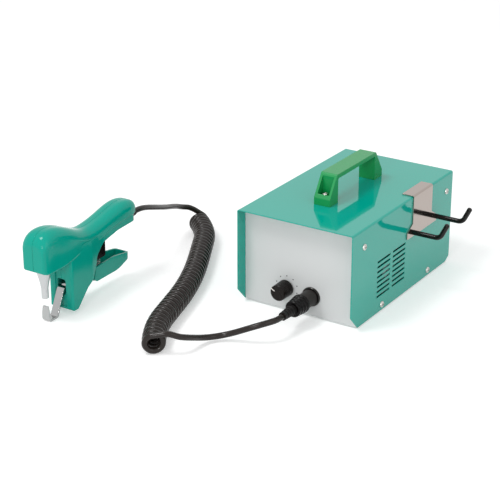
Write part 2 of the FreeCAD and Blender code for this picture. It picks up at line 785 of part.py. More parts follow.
def hook_bracket():
    """Polished plate folded over the cover's edge, with an ear below on each side."""
    face = WALL_OUT + BRACKET_T
    top = COVER_TOP + BRACKET_T
    low = COVER_TOP - BRACKET_DROP
    shoulder = low + BRACKET_EAR_TOP + BRACKET_EAR_SLOPE
    edge = face - BRACKET_FLANGE - BRACKET_T
    fold = (
        (edge, COVER_TOP), (edge, top), (face, top, BRACKET_BEND), (face, shoulder),
        (WALL_OUT, shoulder), (WALL_OUT, COVER_TOP, BRACKET_BEND - BRACKET_T),
    )
    y0, y1 = BRACKET_YS
    ear0, ear1 = BRACKET_EAR_YS
    ears = (
        (y0, shoulder), (y1, shoulder), (ear1, low + BRACKET_EAR_TOP, 1.5), (ear1, low, 1.5),
        (ear0, low, 1.5), (ear0, low + BRACKET_EAR_TOP, 1.5),
    )
    plate = joined(plate_xz(fold, y0, y1), plate_yz(ears, WALL_OUT, face))
    start = WALL_OUT - TOOL_OVER
    bore = ROD_STUD_R + HOLE_CLEAR
    holes = [rod(Vector(start, y, ROD_Z), X_AXIS, bore, BRACKET_T + 2 * TOOL_OVER) for y in ROD_YS]
    return plate.cut(holes)


def hook_rod(y):
    """Coated hanging rod, bent up at its end, with a stud through the bracket and wall."""
    face = WALL_OUT + BRACKET_T
    lean = math.radians(ROD_TIP_ANGLE)
    start = Vector(face, y, ROD_Z)
    corner = Vector(face + ROD_REACH, y, ROD_Z)
    rise = Vector(math.cos(lean), 0, math.sin(lean))
    tip = corner + rise * ROD_TIP
    cut = ROD_BEND * math.tan(lean / 2)
    bend_in = corner - X_AXIS * cut
    bend_out = corner + rise * cut
    inward = (rise - X_AXIS).normalize()
    middle = corner + inward * (ROD_BEND / math.cos(lean / 2) - ROD_BEND)
    path = Part.Wire([
        Part.LineSegment(start, bend_in).toShape(),
        Part.Arc(bend_in, middle, bend_out).toShape(),
        Part.LineSegment(bend_out, tip).toShape(),
    ])
    section = Part.Wire([Part.Circle(start, X_AXIS, ROD_R).toShape()])
    bar = path.makePipeShell([section], True, False)
    tip_edge = min(bar.Edges, key=lambda edge: (edge.CenterOfMass - tip).Length)
    bar = bar.makeFillet(ROD_TIP_ROUND, [tip_edge])
    stud_long = BRACKET_T + SHEET + ROD_NUT_H + 1.0
    return joined(bar, rod(Vector(face - stud_long, y, ROD_Z), X_AXIS, ROD_STUD_R, stud_long + 1.0))


def hook_nuts():
    """Nuts inside the wall that hold the rods and the bracket."""
    bore = ROD_STUD_R + HOLE_CLEAR
    seats = [Vector(WALL_IN, y, ROD_Z) for y in ROD_YS]
    return [hexagon_nut(seat, -X_AXIS, Y_AXIS, NUT_ACROSS, ROD_NUT_H, bore) for seat in seats]


# Power unit: dial, socket and plug

def timer_knob():
    """Fluted dial knob with a pointer groove and a recess over the nut."""
    base = Vector(KNOB_X, KNOB_BACK, KNOB_Z)
    recess = TIMER_NUT_ACROSS / 2 / math.cos(math.pi / 6) + 1.2
    profile = (
        (KNOB_RECESS, SHAFT_R), (KNOB_RECESS, recess), (0, recess), (0, KNOB_R),
        (KNOB_LONG - KNOB_RIM, KNOB_R - KNOB_TAPER),
        (KNOB_LONG, KNOB_R - KNOB_TAPER - KNOB_RIM), (KNOB_LONG, 0),
        (KNOB_LONG - KNOB_CROWN, 0), (KNOB_LONG - KNOB_CROWN, SHAFT_R),
    )
    body = turned(profile, base, -Y_AXIS, X_AXIS)
    flute = plate_xz(((-KNOB_FLUTE, 0), (0, -1.4 * KNOB_FLUTE), (KNOB_FLUTE, 0)), 0, KNOB_LONG - 2.5)
    cutters = []
    for step in range(KNOB_FLUTES):
        cutter = flute.translated(Vector(0, KNOB_FACE + 1.2, KNOB_R + 0.05))
        cutter.rotate(Vector(0, 0, 0), Y_AXIS, 360.0 * step / KNOB_FLUTES)
        cutters.append(cutter.translated(Vector(KNOB_X, 0, KNOB_Z)))
    half = KNOB_POINTER_W / 2
    groove = block(KNOB_R * 0.42, KNOB_R + 1, KNOB_FACE - 1, KNOB_FACE + KNOB_POINTER_DEEP, -half, half)
    groove.rotate(Vector(0, 0, 0), -Y_AXIS, KNOB_POINTER_ANGLE)
    cutters.append(groove.translated(Vector(KNOB_X, 0, KNOB_Z)))
    return body.cut(cutters)


def timer_parts():
    """Dial shaft, potentiometer body and the nut that clamps its bushing to the panel."""
    front = KNOB_FACE + KNOB_CROWN
    depth = FRONT_WALL_IN + POT_LONG * 0.6
    shaft = rod(Vector(KNOB_X, front, KNOB_Z), Y_AXIS, SHAFT_R, depth - front)
    bore = SHAFT_R + SHAFT_CLEAR
    nut_face = PANEL_FACE - TIMER_NUT_H
    profile = (
        (nut_face, bore), (nut_face, BUSHING_R), (FRONT_WALL_IN, BUSHING_R), (FRONT_WALL_IN, POT_R),
        (FRONT_WALL_IN + POT_LONG, POT_R), (FRONT_WALL_IN + POT_LONG, 0), (depth, 0), (depth, bore),
    )
    pot = turned(profile, Vector(KNOB_X, 0, KNOB_Z), Y_AXIS, X_AXIS)
    seat = Vector(KNOB_X, PANEL_FACE, KNOB_Z)
    nut = hexagon_nut(seat, -Y_AXIS, X_AXIS, TIMER_NUT_ACROSS, TIMER_NUT_H, BUSHING_R + HOLE_CLEAR)
    return shaft, pot, nut


def output_socket():
    """Panel socket: round flange, hollow nose for the plug and a barrel through the wall."""
    flange = PANEL_FACE - SOCKET_FLANGE_T
    nose = flange - SOCKET_NOSE
    floor = flange + 1.0
    profile = (
        (nose, SOCKET_BORE_R), (nose, SOCKET_BARREL_R), (flange, SOCKET_BARREL_R),
        (flange, SOCKET_FLANGE_R - 0.6), (flange + 0.6, SOCKET_FLANGE_R), (PANEL_FACE, SOCKET_FLANGE_R),
        (PANEL_FACE, SOCKET_BACK_R), (PANEL_FACE + SOCKET_BACK, SOCKET_BACK_R),
        (PANEL_FACE + SOCKET_BACK, 0), (floor, 0), (floor, SOCKET_BORE_R),
    )
    return turned(profile, Vector(SOCKET_X, 0, SOCKET_Z), Y_AXIS, X_AXIS)


def socket_nut():
    """Nut behind the front wall that holds the socket."""
    seat = Vector(SOCKET_X, FRONT_WALL_IN, SOCKET_Z)
    return hexagon_nut(seat, Y_AXIS, X_AXIS, SOCKET_NUT_ACROSS, SOCKET_NUT_H, SOCKET_BACK_R + HOLE_CLEAR)


def plug_sleeve():
    """Locking sleeve that turns on the plug's neck over the socket's nose."""
    seat = SLEEVE_REAR + SLEEVE_SEAT
    neck = PLUG_NECK_R + PLUG_NECK_CLEAR
    wide = SLEEVE_BORE_R
    profile = (
        (SLEEVE_FRONT, wide), (SLEEVE_FRONT, SLEEVE_R), (SLEEVE_REAR + 0.8, SLEEVE_R),
        (SLEEVE_REAR, SLEEVE_R - 0.8), (SLEEVE_REAR, neck), (seat, neck), (seat, wide),
    )
    return turned(profile, Vector(SOCKET_X, 0, SOCKET_Z), Y_AXIS, X_AXIS)


def plug_shell():
    """Plug body: contact core, neck for the sleeve and a ringed back shell."""
    core_end = PANEL_FACE - SOCKET_FLANGE_T - PLUG_CORE_GAP
    neck_end = SLEEVE_REAR + SLEEVE_SEAT + 0.2
    profile = [(core_end, 0), (core_end, PLUG_CORE_R), (neck_end, PLUG_CORE_R), (neck_end, PLUG_NECK_R)]
    profile += [(SHELL_FRONT, PLUG_NECK_R)]
    ring = PLUG_SHELL_LONG / PLUG_SHELL_RINGS
    for step in range(PLUG_SHELL_RINGS):
        start = SHELL_FRONT - step * ring
        outer = PLUG_SHELL_R - 0.5 * step
        profile += [
            (start, outer - PLUG_GROOVE), (start - 0.2 * ring, outer),
            (start - 0.75 * ring, outer), (start - 0.95 * ring, outer - PLUG_GROOVE),
        ]
    profile += [(BOOT_FRONT, PLUG_SHELL_R - PLUG_GROOVE - 0.5 * PLUG_SHELL_RINGS), (BOOT_FRONT, 0)]
    return turned(profile, Vector(SOCKET_X, 0, SOCKET_Z), Y_AXIS, X_AXIS)


def plug_boot():
    """Ribbed bend protector behind the plug."""
    rib = BOOT_LONG / BOOT_RIBS
    profile = [(BOOT_FRONT, 0)]
    for step in range(BOOT_RIBS):
        start = BOOT_FRONT - step * rib
        radius = BOOT_ROOT_R + (BOOT_TIP_R - BOOT_ROOT_R) * step / (BOOT_RIBS - 1)
        profile += [(start, radius), (start - 0.6 * rib, radius)]
        if step < BOOT_RIBS - 1:
            profile += [(start - 0.6 * rib, radius - BOOT_RIB_DEEP), (start - rib, radius - BOOT_RIB_DEEP)]
    profile += [(BOOT_END, BOOT_TIP_R), (BOOT_END, 0)]
    return turned(profile, Vector(SOCKET_X, 0, SOCKET_Z), Y_AXIS, X_AXIS)


# Power unit: rear wall

def mains_inlet():
    """Three-pin mains inlet with a flange for two screws."""
    flange = REAR_WALL + INLET_FLANGE_T
    half = INLET_FLANGE_W / 2
    tall = INLET_FLANGE_H / 2
    plate = oblong(INLET_X - half, INLET_X + half, INLET_Z - tall, INLET_Z + tall, 4.0)
    w = INLET_BODY_W / 2
    h = INLET_BODY_H / 2
    back = flange - INLET_DEEP
    body = joined(
        plate_xz(plate, REAR_WALL, flange),
        block(INLET_X - w, INLET_X + w, back, REAR_WALL, INLET_Z - h, INLET_Z + h),
    )
    ww = INLET_WELL_W / 2
    wh = INLET_WELL_H / 2
    well = ((INLET_X - ww, INLET_Z - wh, 1.0), (INLET_X + ww, INLET_Z - wh, 1.0), (INLET_X + ww, INLET_Z + 2),
            (INLET_X + ww - 6, INLET_Z + wh), (INLET_X - ww + 6, INLET_Z + wh), (INLET_X - ww, INLET_Z + 2))
    cutters = [plate_xz(well, flange - INLET_WELL_DEEP, flange + TOOL_OVER)]
    for x in (INLET_X - INLET_SCREW_PITCH / 2, INLET_X + INLET_SCREW_PITCH / 2):
        start = Vector(x, REAR_WALL - TOOL_OVER, INLET_Z)
        cutters.append(rod(start, Y_AXIS, INLET_SCREW_R + HOLE_CLEAR, INLET_FLANGE_T + 2 * TOOL_OVER))
    body = body.cut(cutters)
    floor = flange - INLET_WELL_DEEP
    pins = []
    for step, rise in ((-1, -1.0), (0, 2.4), (1, -1.0)):
        x = INLET_X + step * INLET_PIN_PITCH
        z = INLET_Z + rise
        pins.append(block(x - INLET_PIN_W / 2, x + INLET_PIN_W / 2, floor - 1.0, floor + INLET_PIN_LONG,
                          z - INLET_PIN_H / 2, z + INLET_PIN_H / 2))
    return joined(body, *pins)


def inlet_screws():
    """Two screws that hold the inlet to the rear wall."""
    seat_y = REAR_WALL + INLET_FLANGE_T
    xs = (INLET_X - INLET_SCREW_PITCH / 2, INLET_X + INLET_SCREW_PITCH / 2)
    sizes = (INLET_SCREW_R, INLET_SCREW_LONG, INLET_HEAD_R, INLET_HEAD_H)
    return [pan_screw(Vector(x, seat_y, INLET_Z), Y_AXIS, X_AXIS, *sizes) for x in xs]


def switch_frame():
    """Rocker frame: bezel on the wall and a box behind it with bearings for the rocker."""
    y0 = REAR_WALL
    y1 = REAR_WALL + SWITCH_FRAME_T
    w = SWITCH_W / 2
    h = SWITCH_H / 2
    bw = SWITCH_BODY_W / 2
    bh = SWITCH_BODY_H / 2
    body = joined(
        plate_xz(oblong(SWITCH_X - w, SWITCH_X + w, SWITCH_Z - h, SWITCH_Z + h, 1.0), y0, y1),
        block(SWITCH_X - bw, SWITCH_X + bw, y0 - SWITCH_DEEP, y0, SWITCH_Z - bh, SWITCH_Z + bh),
    )
    ww = SWITCH_WELL_W / 2
    wh = SWITCH_WELL_H / 2
    well = block(SWITCH_X - ww, SWITCH_X + ww, y1 - SWITCH_WELL_DEEP, y1 + TOOL_OVER,
                 SWITCH_Z - wh, SWITCH_Z + wh)
    reach = ROCKER_W / 2 + ROCKER_PIN_PROUD + FIT
    bearing = rod(Vector(SWITCH_X - reach, y0, SWITCH_Z), X_AXIS, ROCKER_PIN_R + ROCKER_PIN_CLEAR, 2 * reach)
    return body.cut([well, bearing])


def power_rocker():
    """Rocker with a dished face, tipped to its off side, on two stub pins."""
    half = ROCKER_HALF
    outline = (
        (-3.0, -half * 0.6, 1.0), (ROCKER_PROUD, -half, 0.8), (ROCKER_PROUD - ROCKER_DISH, 0.0, 12.0),
        (ROCKER_PROUD, half, 0.8), (-3.0, half * 0.6, 1.0),
    )
    body = plate_yz(outline, -ROCKER_W / 2, ROCKER_W / 2)
    reach = ROCKER_W / 2 + ROCKER_PIN_PROUD
    body = joined(body, rod(Vector(-reach, 0, 0), X_AXIS, ROCKER_PIN_R, 2 * reach))
    body.rotate(Vector(0, 0, 0), X_AXIS, -ROCKER_TILT)
    return body.translated(Vector(SWITCH_X, REAR_WALL, SWITCH_Z))


def fuse_holder():
    """Screw-cap fuse holder, its cap slotted for a coin."""
    flange = REAR_WALL + FUSE_FLANGE_T
    cap = flange + FUSE_CAP_LONG
    profile = (
        (REAR_WALL - FUSE_DEEP, 0), (REAR_WALL - FUSE_DEEP, FUSE_BODY_R), (REAR_WALL, FUSE_BODY_R),
        (REAR_WALL, FUSE_FLANGE_R), (flange - 0.6, FUSE_FLANGE_R), (flange, FUSE_FLANGE_R - 0.6),
        (flange, FUSE_CAP_R), (cap - 0.8, FUSE_CAP_R - 0.3), (cap, FUSE_CAP_R - 1.1), (cap, 0),
    )
    body = turned(profile, Vector(FUSE_X, 0, FUSE_Z), Y_AXIS, X_AXIS)
    half = FUSE_SLOT_W / 2
    slot = block(-FUSE_CAP_R, FUSE_CAP_R, cap - FUSE_SLOT_DEEP, cap + TOOL_OVER, -half, half)
    return body.cut(slot.translated(Vector(FUSE_X, 0, FUSE_Z)))


# Power unit: electronics

def transformer():
    """Laminated core with two windows, and the winding round its middle leg."""
    x0, x1 = CORE_X - CORE_W / 2, CORE_X + CORE_W / 2
    y0, y1 = CORE_Y - CORE_D / 2, CORE_Y + CORE_D / 2
    z0, z1 = BASE_TOP, BASE_TOP + CORE_H
    middle = CORE_LEG
    core = block(x0, x1, y0, y1, z0, z1)
    windows = [
        block(x0 + CORE_LEG, CORE_X - middle, y0 - TOOL_OVER, y1 + TOOL_OVER, z0 + CORE_LEG, z1 - CORE_LEG),
        block(CORE_X + middle, x1 - CORE_LEG, y0 - TOOL_OVER, y1 + TOOL_OVER, z0 + CORE_LEG, z1 - CORE_LEG),
    ]
    core = core.cut(windows)
    low = z0 + CORE_LEG + WINDING_GAP
    high = z1 - CORE_LEG - WINDING_GAP
    out_x = CORE_W / 2 - CORE_LEG - WINDING_GAP
    out_y = CORE_D / 2 + WINDING_OUT
    in_x = middle + WINDING_GAP
    in_y = CORE_D / 2 + WINDING_GAP
    outer = oblong(CORE_X - out_x, CORE_X + out_x, CORE_Y - out_y, CORE_Y + out_y, 5.0)
    bore = oblong(CORE_X - in_x, CORE_X + in_x, CORE_Y - in_y, CORE_Y + in_y)
    winding = plate_xy(outer, low, high).cut(plate_xy(bore, low - TOOL_OVER, high + TOOL_OVER))
    return core, winding


def driver_board():
    """Driver circuit board on four spacers."""
    w = BOARD_W / 2
    d = BOARD_D / 2
    outline = oblong(BOARD_X - w, BOARD_X + w, BOARD_Y - d, BOARD_Y + d, 2.0)
    board = plate_xy(outline, BOARD_Z, BOARD_Z + BOARD_T)
    spots = [
        Vector(BOARD_X + sx * (w - SPACER_INSET), BOARD_Y + sy * (d - SPACER_INSET), BASE_TOP)
        for sx in (-1, 1) for sy in (-1, 1)
    ]
    return board, [rod(spot, Z_AXIS, SPACER_R, SPACER_H) for spot in spots]


def heat_sink():
    """Finned heat sink standing on the board."""
    low = BOARD_Z + BOARD_T
    x0 = BOARD_X - SINK_W / 2
    y0 = BOARD_Y - BOARD_D / 2 + 2 * SPACER_INSET
    pitch = (SINK_W - SINK_FIN_T) / (SINK_FINS - 1)
    outline = [(x0, low), (x0 + SINK_W, low)]
    for fin in reversed(range(SINK_FINS)):
        left = x0 + fin * pitch
        outline += [(left + SINK_FIN_T, low + SINK_H), (left, low + SINK_H)]
        if fin > 0:
            outline += [(left, low + SINK_BASE), (left - pitch + SINK_FIN_T, low + SINK_BASE)]
    return plate_xz(outline, y0, y0 + SINK_D)


def capacitors():
    """Two can capacitors standing on the board."""
    low = BOARD_Z + BOARD_T
    profile = (
        (0, 0), (0, CAPACITOR_R), (CAPACITOR_H - 1, CAPACITOR_R),
        (CAPACITOR_H, CAPACITOR_R - 1), (CAPACITOR_H, 0),
    )
    return [turned(profile, Vector(x, CAPACITOR_Y, low), Z_AXIS, X_AXIS) for x in CAPACITOR_XS]


def output_coil():
    """Ring-core matching coil lying on the base."""
    bevel = 3.0
    profile = (
        (0, COIL_CORE_BORE_R + bevel), (0, COIL_CORE_R - bevel), (bevel, COIL_CORE_R),
        (COIL_CORE_H - bevel, COIL_CORE_R), (COIL_CORE_H, COIL_CORE_R - bevel),
        (COIL_CORE_H, COIL_CORE_BORE_R + bevel), (COIL_CORE_H - bevel, COIL_CORE_BORE_R),
        (bevel, COIL_CORE_BORE_R),
    )
    return turned(profile, Vector(COIL_CORE_X, COIL_CORE_Y, BASE_TOP), Z_AXIS, X_AXIS)


# Hand piece, drawn about its own horn axis and then set down beside the power unit

def set_down(shape):
    """Move a piece from the hand piece's own axes to its place."""
    return shape.translated(Vector(HAND_X, HAND_Y, 0))


def cross_pin(place, radius, half):
    """Bar across the hand piece at a (y, z) place."""
    return rod(Vector(-half, place[0], place[1]), X_AXIS, radius, 2 * half)


def grip_form():
    """Head and grip: one smooth loft of rounded sections."""
    wires = []
    for y, half, low, high in GRIP_SECTIONS:
        crown = min(SHELL_ROUND_SHARE * half, 0.62 * (high - low))
        corners = (
            (-half, low, SHELL_ROUND_LOW), (half, low, SHELL_ROUND_LOW),
            (half, high, crown), (-half, high, crown),
        )
        wires.append(rounded_wire(corners, lambda p, y=y: Vector(p.x, y, p.y)))
    return Part.makeLoft(wires, True, False)


def leg_form():
    """Leg and belly: side outline met by a plan that narrows under the grip."""
    side = plate_yz(LEG_OUTLINE, -LEG_HALF, LEG_HALF)
    end = BELLY_END
    plan = (
        (-LEG_HALF, LEG_FRONT, 3.0), (LEG_HALF, LEG_FRONT, 3.0), (LEG_HALF, 66.0, 20.0),
        (BELLY_HALF, 92.0, 20.0), (BELLY_HALF, end, 9.0), (-BELLY_HALF, end, 9.0),
        (-BELLY_HALF, 92.0, 20.0), (-LEG_HALF, 66.0, 20.0),
    )
    return side.common(plate_xy(plan, -TOOL_OVER, HEAD_BOTTOM + 40))


def shell_hollows():
    """Cutters for everything that the two shells hold or let through."""
    arch = ((-ARCH_W / 2, ARCH_BOTTOM, 2.0), (ARCH_W / 2, ARCH_BOTTOM, 2.0),
            (ARCH_W / 2, ARCH_TOP, ARCH_W / 2), (-ARCH_W / 2, ARCH_TOP, ARCH_W / 2))
    slot = oblong(-SLOT_W / 2, SLOT_W / 2, SLOT_BOTTOM, SLOT_TOP, 3.0)
    cutters = [
        plate_xz(arch, LEG_FRONT - TOOL_OVER, LEG_FRONT + ARCH_DEEP),
        plate_xz(slot, LEG_FRONT - TOOL_OVER, LEVER_BAY_FRONT + TOOL_OVER),
        block(-LEVER_BAY_HALF, LEVER_BAY_HALF, LEVER_BAY_FRONT, LEVER_BAY_REAR,
              LEVER_BAY_BOTTOM, LEVER_BAY_TOP),
    ]
    side = SWITCH_BLOCK_HALF + FIT
    cutters.append(block(-side, side, SWITCH_BLOCK_YS[0] - FIT, SWITCH_BLOCK_YS[1] + FIT,
                         SWITCH_BLOCK_ZS[0] - TOOL_OVER, SWITCH_BLOCK_ZS[1] + FIT))
    top = transducer_top() + 1.0
    profile = (
        (HEAD_BOTTOM - TOOL_OVER, 0), (HEAD_BOTTOM - TOOL_OVER, HORN_ROOT_R + HORN_CLEAR),
        (FLANGE_Z, HORN_ROOT_R + HORN_CLEAR), (FLANGE_Z, FLANGE_R + FIT),
        (FLANGE_Z + FLANGE_T, FLANGE_R + FIT),
        (FLANGE_Z + FLANGE_T, FRONT_MASS_R + HORN_CLEAR), (top, FRONT_MASS_R + HORN_CLEAR), (top, 0),
    )
    cutters.append(turned(profile, Vector(0, 0, 0), Z_AXIS, X_AXIS))
    start = Vector(0, *WIRE_WAY_START)
    knee = Vector(0, *WIRE_WAY_KNEE)
    finish = Vector(0, BELLY_END - RELIEF_STEM, RELIEF_Z)
    for a, b in ((start, knee), (knee, finish)):
        cutters.append(rod(a, (b - a).normalize(), WIRE_WAY_R, (b - a).Length + WIRE_WAY_R / 2))
    relief = RELIEF_STEM_R + FIT
    cutters.append(rod(Vector(0, BELLY_END - RELIEF_STEM, RELIEF_Z), Y_AXIS, relief, RELIEF_STEM + 12))
    for pivot in (ANVIL_PIVOT, TRIGGER_PIVOT):
        cutters.append(cross_pin(pivot, PIN_R + PIN_CLEAR, PIN_HALF + FIT))
    for place, seat in zip(SHELL_SCREW_PLACES, SHELL_SCREW_SEAT):
        cutters.append(cross_pin(place, SHELL_SCREW_R + HOLE_CLEAR, seat))
        head = SHELL_SCREW_HEAD_R + HOLE_CLEAR
        cutters.append(rod(Vector(-seat, place[0], place[1]), -X_AXIS, head, 2 * LEG_HALF))
    return cutters


def shells():
    """Left and right halves of the moulded housing, split on the middle plane."""
    form = grip_form().fuse(leg_form()).removeSplitter()
    form = form.cut(shell_hollows())
    reach = 2 * LEG_HALF
    halves = []
    for x0, x1 in ((-reach, 0.0), (0.0, reach)):
        halves.append(form.common(block(x0, x1, -reach, BELLY_END + reach, -TOOL_OVER, 150.0)))
    return halves


def shell_screws():
    """Screws from the left shell into the right one."""
    screws = []
    for place, seat in zip(SHELL_SCREW_PLACES, SHELL_SCREW_SEAT):
        spot = Vector(-seat, place[0], place[1])
        long = 2 * seat - SHELL_SCREW_SHORT
        sizes = (SHELL_SCREW_R, long, SHELL_SCREW_HEAD_R, SHELL_SCREW_HEAD_H)
        screws.append(pan_screw(spot, -X_AXIS, Y_AXIS, *sizes))
    return screws


def transducer_top():
    """Height of the transducer bolt's head."""
    return FRONT_MASS_TOP + PIEZO_COUNT * PIEZO_T + BACK_MASS_H + BOLT_HEAD_H


def horn():
    """Tapered horn: straight tip, exponential flare and a stud face for the transducer."""
    flare_low = HORN_TIP_Z + HORN_STRAIGHT
    profile = [(HORN_TIP_Z, 0), (HORN_TIP_Z, HORN_TIP_R - 0.3), (HORN_TIP_Z + 0.3, HORN_TIP_R)]
    for step in range(HORN_STEPS + 1):
        share = step / HORN_STEPS
        radius = HORN_TIP_R * (HORN_ROOT_R / HORN_TIP_R) ** share
        profile.append((flare_low + (HORN_ROOT_Z - flare_low) * share, radius))
    profile += [(FLANGE_Z, HORN_ROOT_R), (FLANGE_Z, 0)]
    return turned(profile, Vector(0, 0, 0), Z_AXIS, X_AXIS)


def transducer():
    """Front mass with its clamping flange, piezo discs, back mass and centre bolt."""
    base = Vector(0, 0, 0)
    front = turned(
        ((FLANGE_Z, 0), (FLANGE_Z, FLANGE_R), (FLANGE_Z + FLANGE_T, FLANGE_R),
         (FLANGE_Z + FLANGE_T, FRONT_MASS_R), (FRONT_MASS_TOP, FRONT_MASS_R), (FRONT_MASS_TOP, 0)),
        base, Z_AXIS, X_AXIS)
    discs = []
    for step in range(PIEZO_COUNT):
        low = FRONT_MASS_TOP + step * PIEZO_T
        disc = rod(Vector(0, 0, low), Z_AXIS, PIEZO_R, PIEZO_T)
        discs.append(disc.cut(rod(Vector(0, 0, low - 1), Z_AXIS, PIEZO_BORE_R, PIEZO_T + 2)))
    stack_top = FRONT_MASS_TOP + PIEZO_COUNT * PIEZO_T
    back_top = stack_top + BACK_MASS_H
    back = rod(Vector(0, 0, stack_top), Z_AXIS, BACK_MASS_R, BACK_MASS_H)
    back = back.cut(rod(Vector(0, 0, stack_top - 1), Z_AXIS, BOLT_R + HOLE_CLEAR, BACK_MASS_H + 2))
    bolt = turned(
        ((FRONT_MASS_TOP, 0), (FRONT_MASS_TOP, BOLT_R), (back_top, BOLT_R), (back_top, BOLT_HEAD_R),
         (back_top + BOLT_HEAD_H, BOLT_HEAD_R), (back_top + BOLT_HEAD_H, 0)),
        base, Z_AXIS, X_AXIS)
    return front, discs, back, bolt


def anvil_lever():
    """Hooked anvil bar: eye on its pivot, tail behind it, and an upturned tip below the horn."""
    pivot_y, pivot_z = ANVIL_PIVOT
    spots = [Vector(0, pivot_y, pivot_z)] + [Vector(0, y, z) for y, z, _ in ANVIL_LINE]
    spots.append(Vector(0, 0, ANVIL_TIP_Z))
    edges = []
    start = spots[0]
    for index, (_, _, radius) in enumerate(ANVIL_LINE, start=1):
        corner = spots[index]
        back = (spots[index - 1] - corner).normalize()
        ahead = (spots[index + 1] - corner).normalize()
        half = back.getAngle(ahead) / 2
        cut = radius / math.tan(half)
        inward = (back + ahead).normalize()
        middle = corner + inward * (radius / math.sin(half) - radius)
        edges.append(Part.LineSegment(start, corner + back * cut).toShape())
        edges.append(Part.Arc(corner + back * cut, middle, corner + ahead * cut).toShape())
        start = corner + ahead * cut
    edges.append(Part.LineSegment(start, spots[-1]).toShape())
    w = BAR_W / 2
    t = BAR_T / 2
    section = Part.makePolygon([Vector(-w, pivot_y, pivot_z - t), Vector(w, pivot_y, pivot_z - t),
                                Vector(w, pivot_y, pivot_z + t), Vector(-w, pivot_y, pivot_z + t),
                                Vector(-w, pivot_y, pivot_z - t)])
    bar = Part.Wire(edges).makePipeShell([section], True, False)
    tail = block(-w, w, pivot_y, pivot_y + ANVIL_TAIL, pivot_z - t, pivot_z + t)
    lever = joined(bar, tail, cross_pin(ANVIL_PIVOT, EYE_R, w))
    narrow = (BAR_W - ANVIL_TIP_W) / 2
    low = ANVIL_TIP_Z - ANVIL_TAPER
    over = ANVIL_TIP_Z + TOOL_OVER
    slope = narrow / ANVIL_TAPER
    taper = ((w, low), (w - slope * (over - low), over), (w + TOOL_OVER, over), (w + TOOL_OVER, low))
    side_cut = plate_xz(taper, -ANVIL_LINE[-2][0] / 2, ANVIL_LINE[-2][0] / 2)
    bore = cross_pin(ANVIL_PIVOT, PIN_R + PIN_CLEAR, BAR_W)
    return lever.cut([side_cut, mirrored(side_cut), bore])


def trigger():
    """Squeeze trigger: open channel for the fingers, a tongue to its pivot and a round pressing nose."""
    wall = TRIGGER_WALL
    outer = plate_yz(TRIGGER_OUTLINE, -TRIGGER_HALF, TRIGGER_HALF)
    y0 = min(corner[0] for corner in TRIGGER_OUTLINE)
    y1 = max(corner[0] for corner in TRIGGER_OUTLINE)
    half = TRIGGER_HALF
    plan = ((-half, y0 - 1), (half, y0 - 1), (half, y1, TRIGGER_END_ROUND), (-half, y1, TRIGGER_END_ROUND))
    outer = outer.common(plate_xy(plan, 0, HEAD_BOTTOM))
    front = TRIGGER_OUTLINE[1][0]
    end = TRIGGER_OUTLINE[3]
    floor = TRIGGER_LOW + wall
    rise = (end[1] - TRIGGER_OUTLINE[2][1]) / (end[0] - TRIGGER_OUTLINE[2][0])
    knee = TRIGGER_OUTLINE[2][0]
    inner_end = end[0] - 2 * wall
    inside = ((front + wall, floor + 1.0), (front + wall + 4, floor), (knee, floor, 40.0),
              (inner_end, floor + rise * (inner_end - knee)), (inner_end, HEAD_BOTTOM),
              (front + wall, HEAD_BOTTOM))
    channel = plate_yz(inside, -half + wall, half - wall)
    trim_end = y1 - 2 * wall
    trim = ((-half, y0), (half, y0), (half, trim_end, TRIGGER_END_ROUND),
            (-half, trim_end, TRIGGER_END_ROUND))
    body = outer.cut(channel.common(plate_xy(trim, 0, HEAD_BOTTOM)))
    pad = block(-half + wall, half - wall, PAD_YS[0], PAD_YS[1], floor - 1.0, PAD_TOP)
    pivot_y, pivot_z = TRIGGER_PIVOT
    tongue = (
        (pivot_y, pivot_z + EYE_R), (front + 1, PAD_TOP - 0.6),
        (front + 1, floor + 0.6), (pivot_y, pivot_z - EYE_R),
    )
    nose = (
        (pivot_y, pivot_z + EYE_R), (NOSE_Y, NOSE_Z + NOSE_R),
        (NOSE_Y, NOSE_Z - NOSE_R * 0.4), (pivot_y, pivot_z),
    )
    body = joined(
        body, pad, plate_yz(tongue, -TONGUE_HALF, TONGUE_HALF), plate_yz(nose, -NOSE_HALF, NOSE_HALF),
        cross_pin(TRIGGER_PIVOT, EYE_R, TONGUE_HALF), cross_pin((NOSE_Y, NOSE_Z), NOSE_R, NOSE_HALF),
    )
    return body.cut(cross_pin(TRIGGER_PIVOT, PIN_R + PIN_CLEAR, TRIGGER_HALF))


def trigger_switch():
    """Switch block under the grip with a bore for its plunger."""
    y0, y1 = SWITCH_BLOCK_YS
    z0, z1 = SWITCH_BLOCK_ZS
    outline = ((y0, z0, 1.0), (y1, z0, 3.0), (y1, z1), (y0, z1))
    body = plate_yz(outline, -SWITCH_BLOCK_HALF, SWITCH_BLOCK_HALF)
    top = PAD_TOP + PLUNGER_GAP + PLUNGER_LONG + PLUNGER_STROKE
    bore = rod(Vector(0, PLUNGER_Y, z0 - TOOL_OVER), Z_AXIS, PLUNGER_R + PLUNGER_CLEAR, top - z0 + TOOL_OVER)
    return body.cut(bore)


def switch_plunger():
    """Round-ended plunger resting just above the trigger's pad."""
    low = Vector(0, PLUNGER_Y, PAD_TOP + PLUNGER_GAP)
    profile = (
        (0, 0), (0, 0.35 * PLUNGER_R), (0.3 * PLUNGER_R, 0.75 * PLUNGER_R), (PLUNGER_R, PLUNGER_R),
        (PLUNGER_LONG, PLUNGER_R), (PLUNGER_LONG, 0),
    )
    return turned(profile, low, Z_AXIS, X_AXIS)


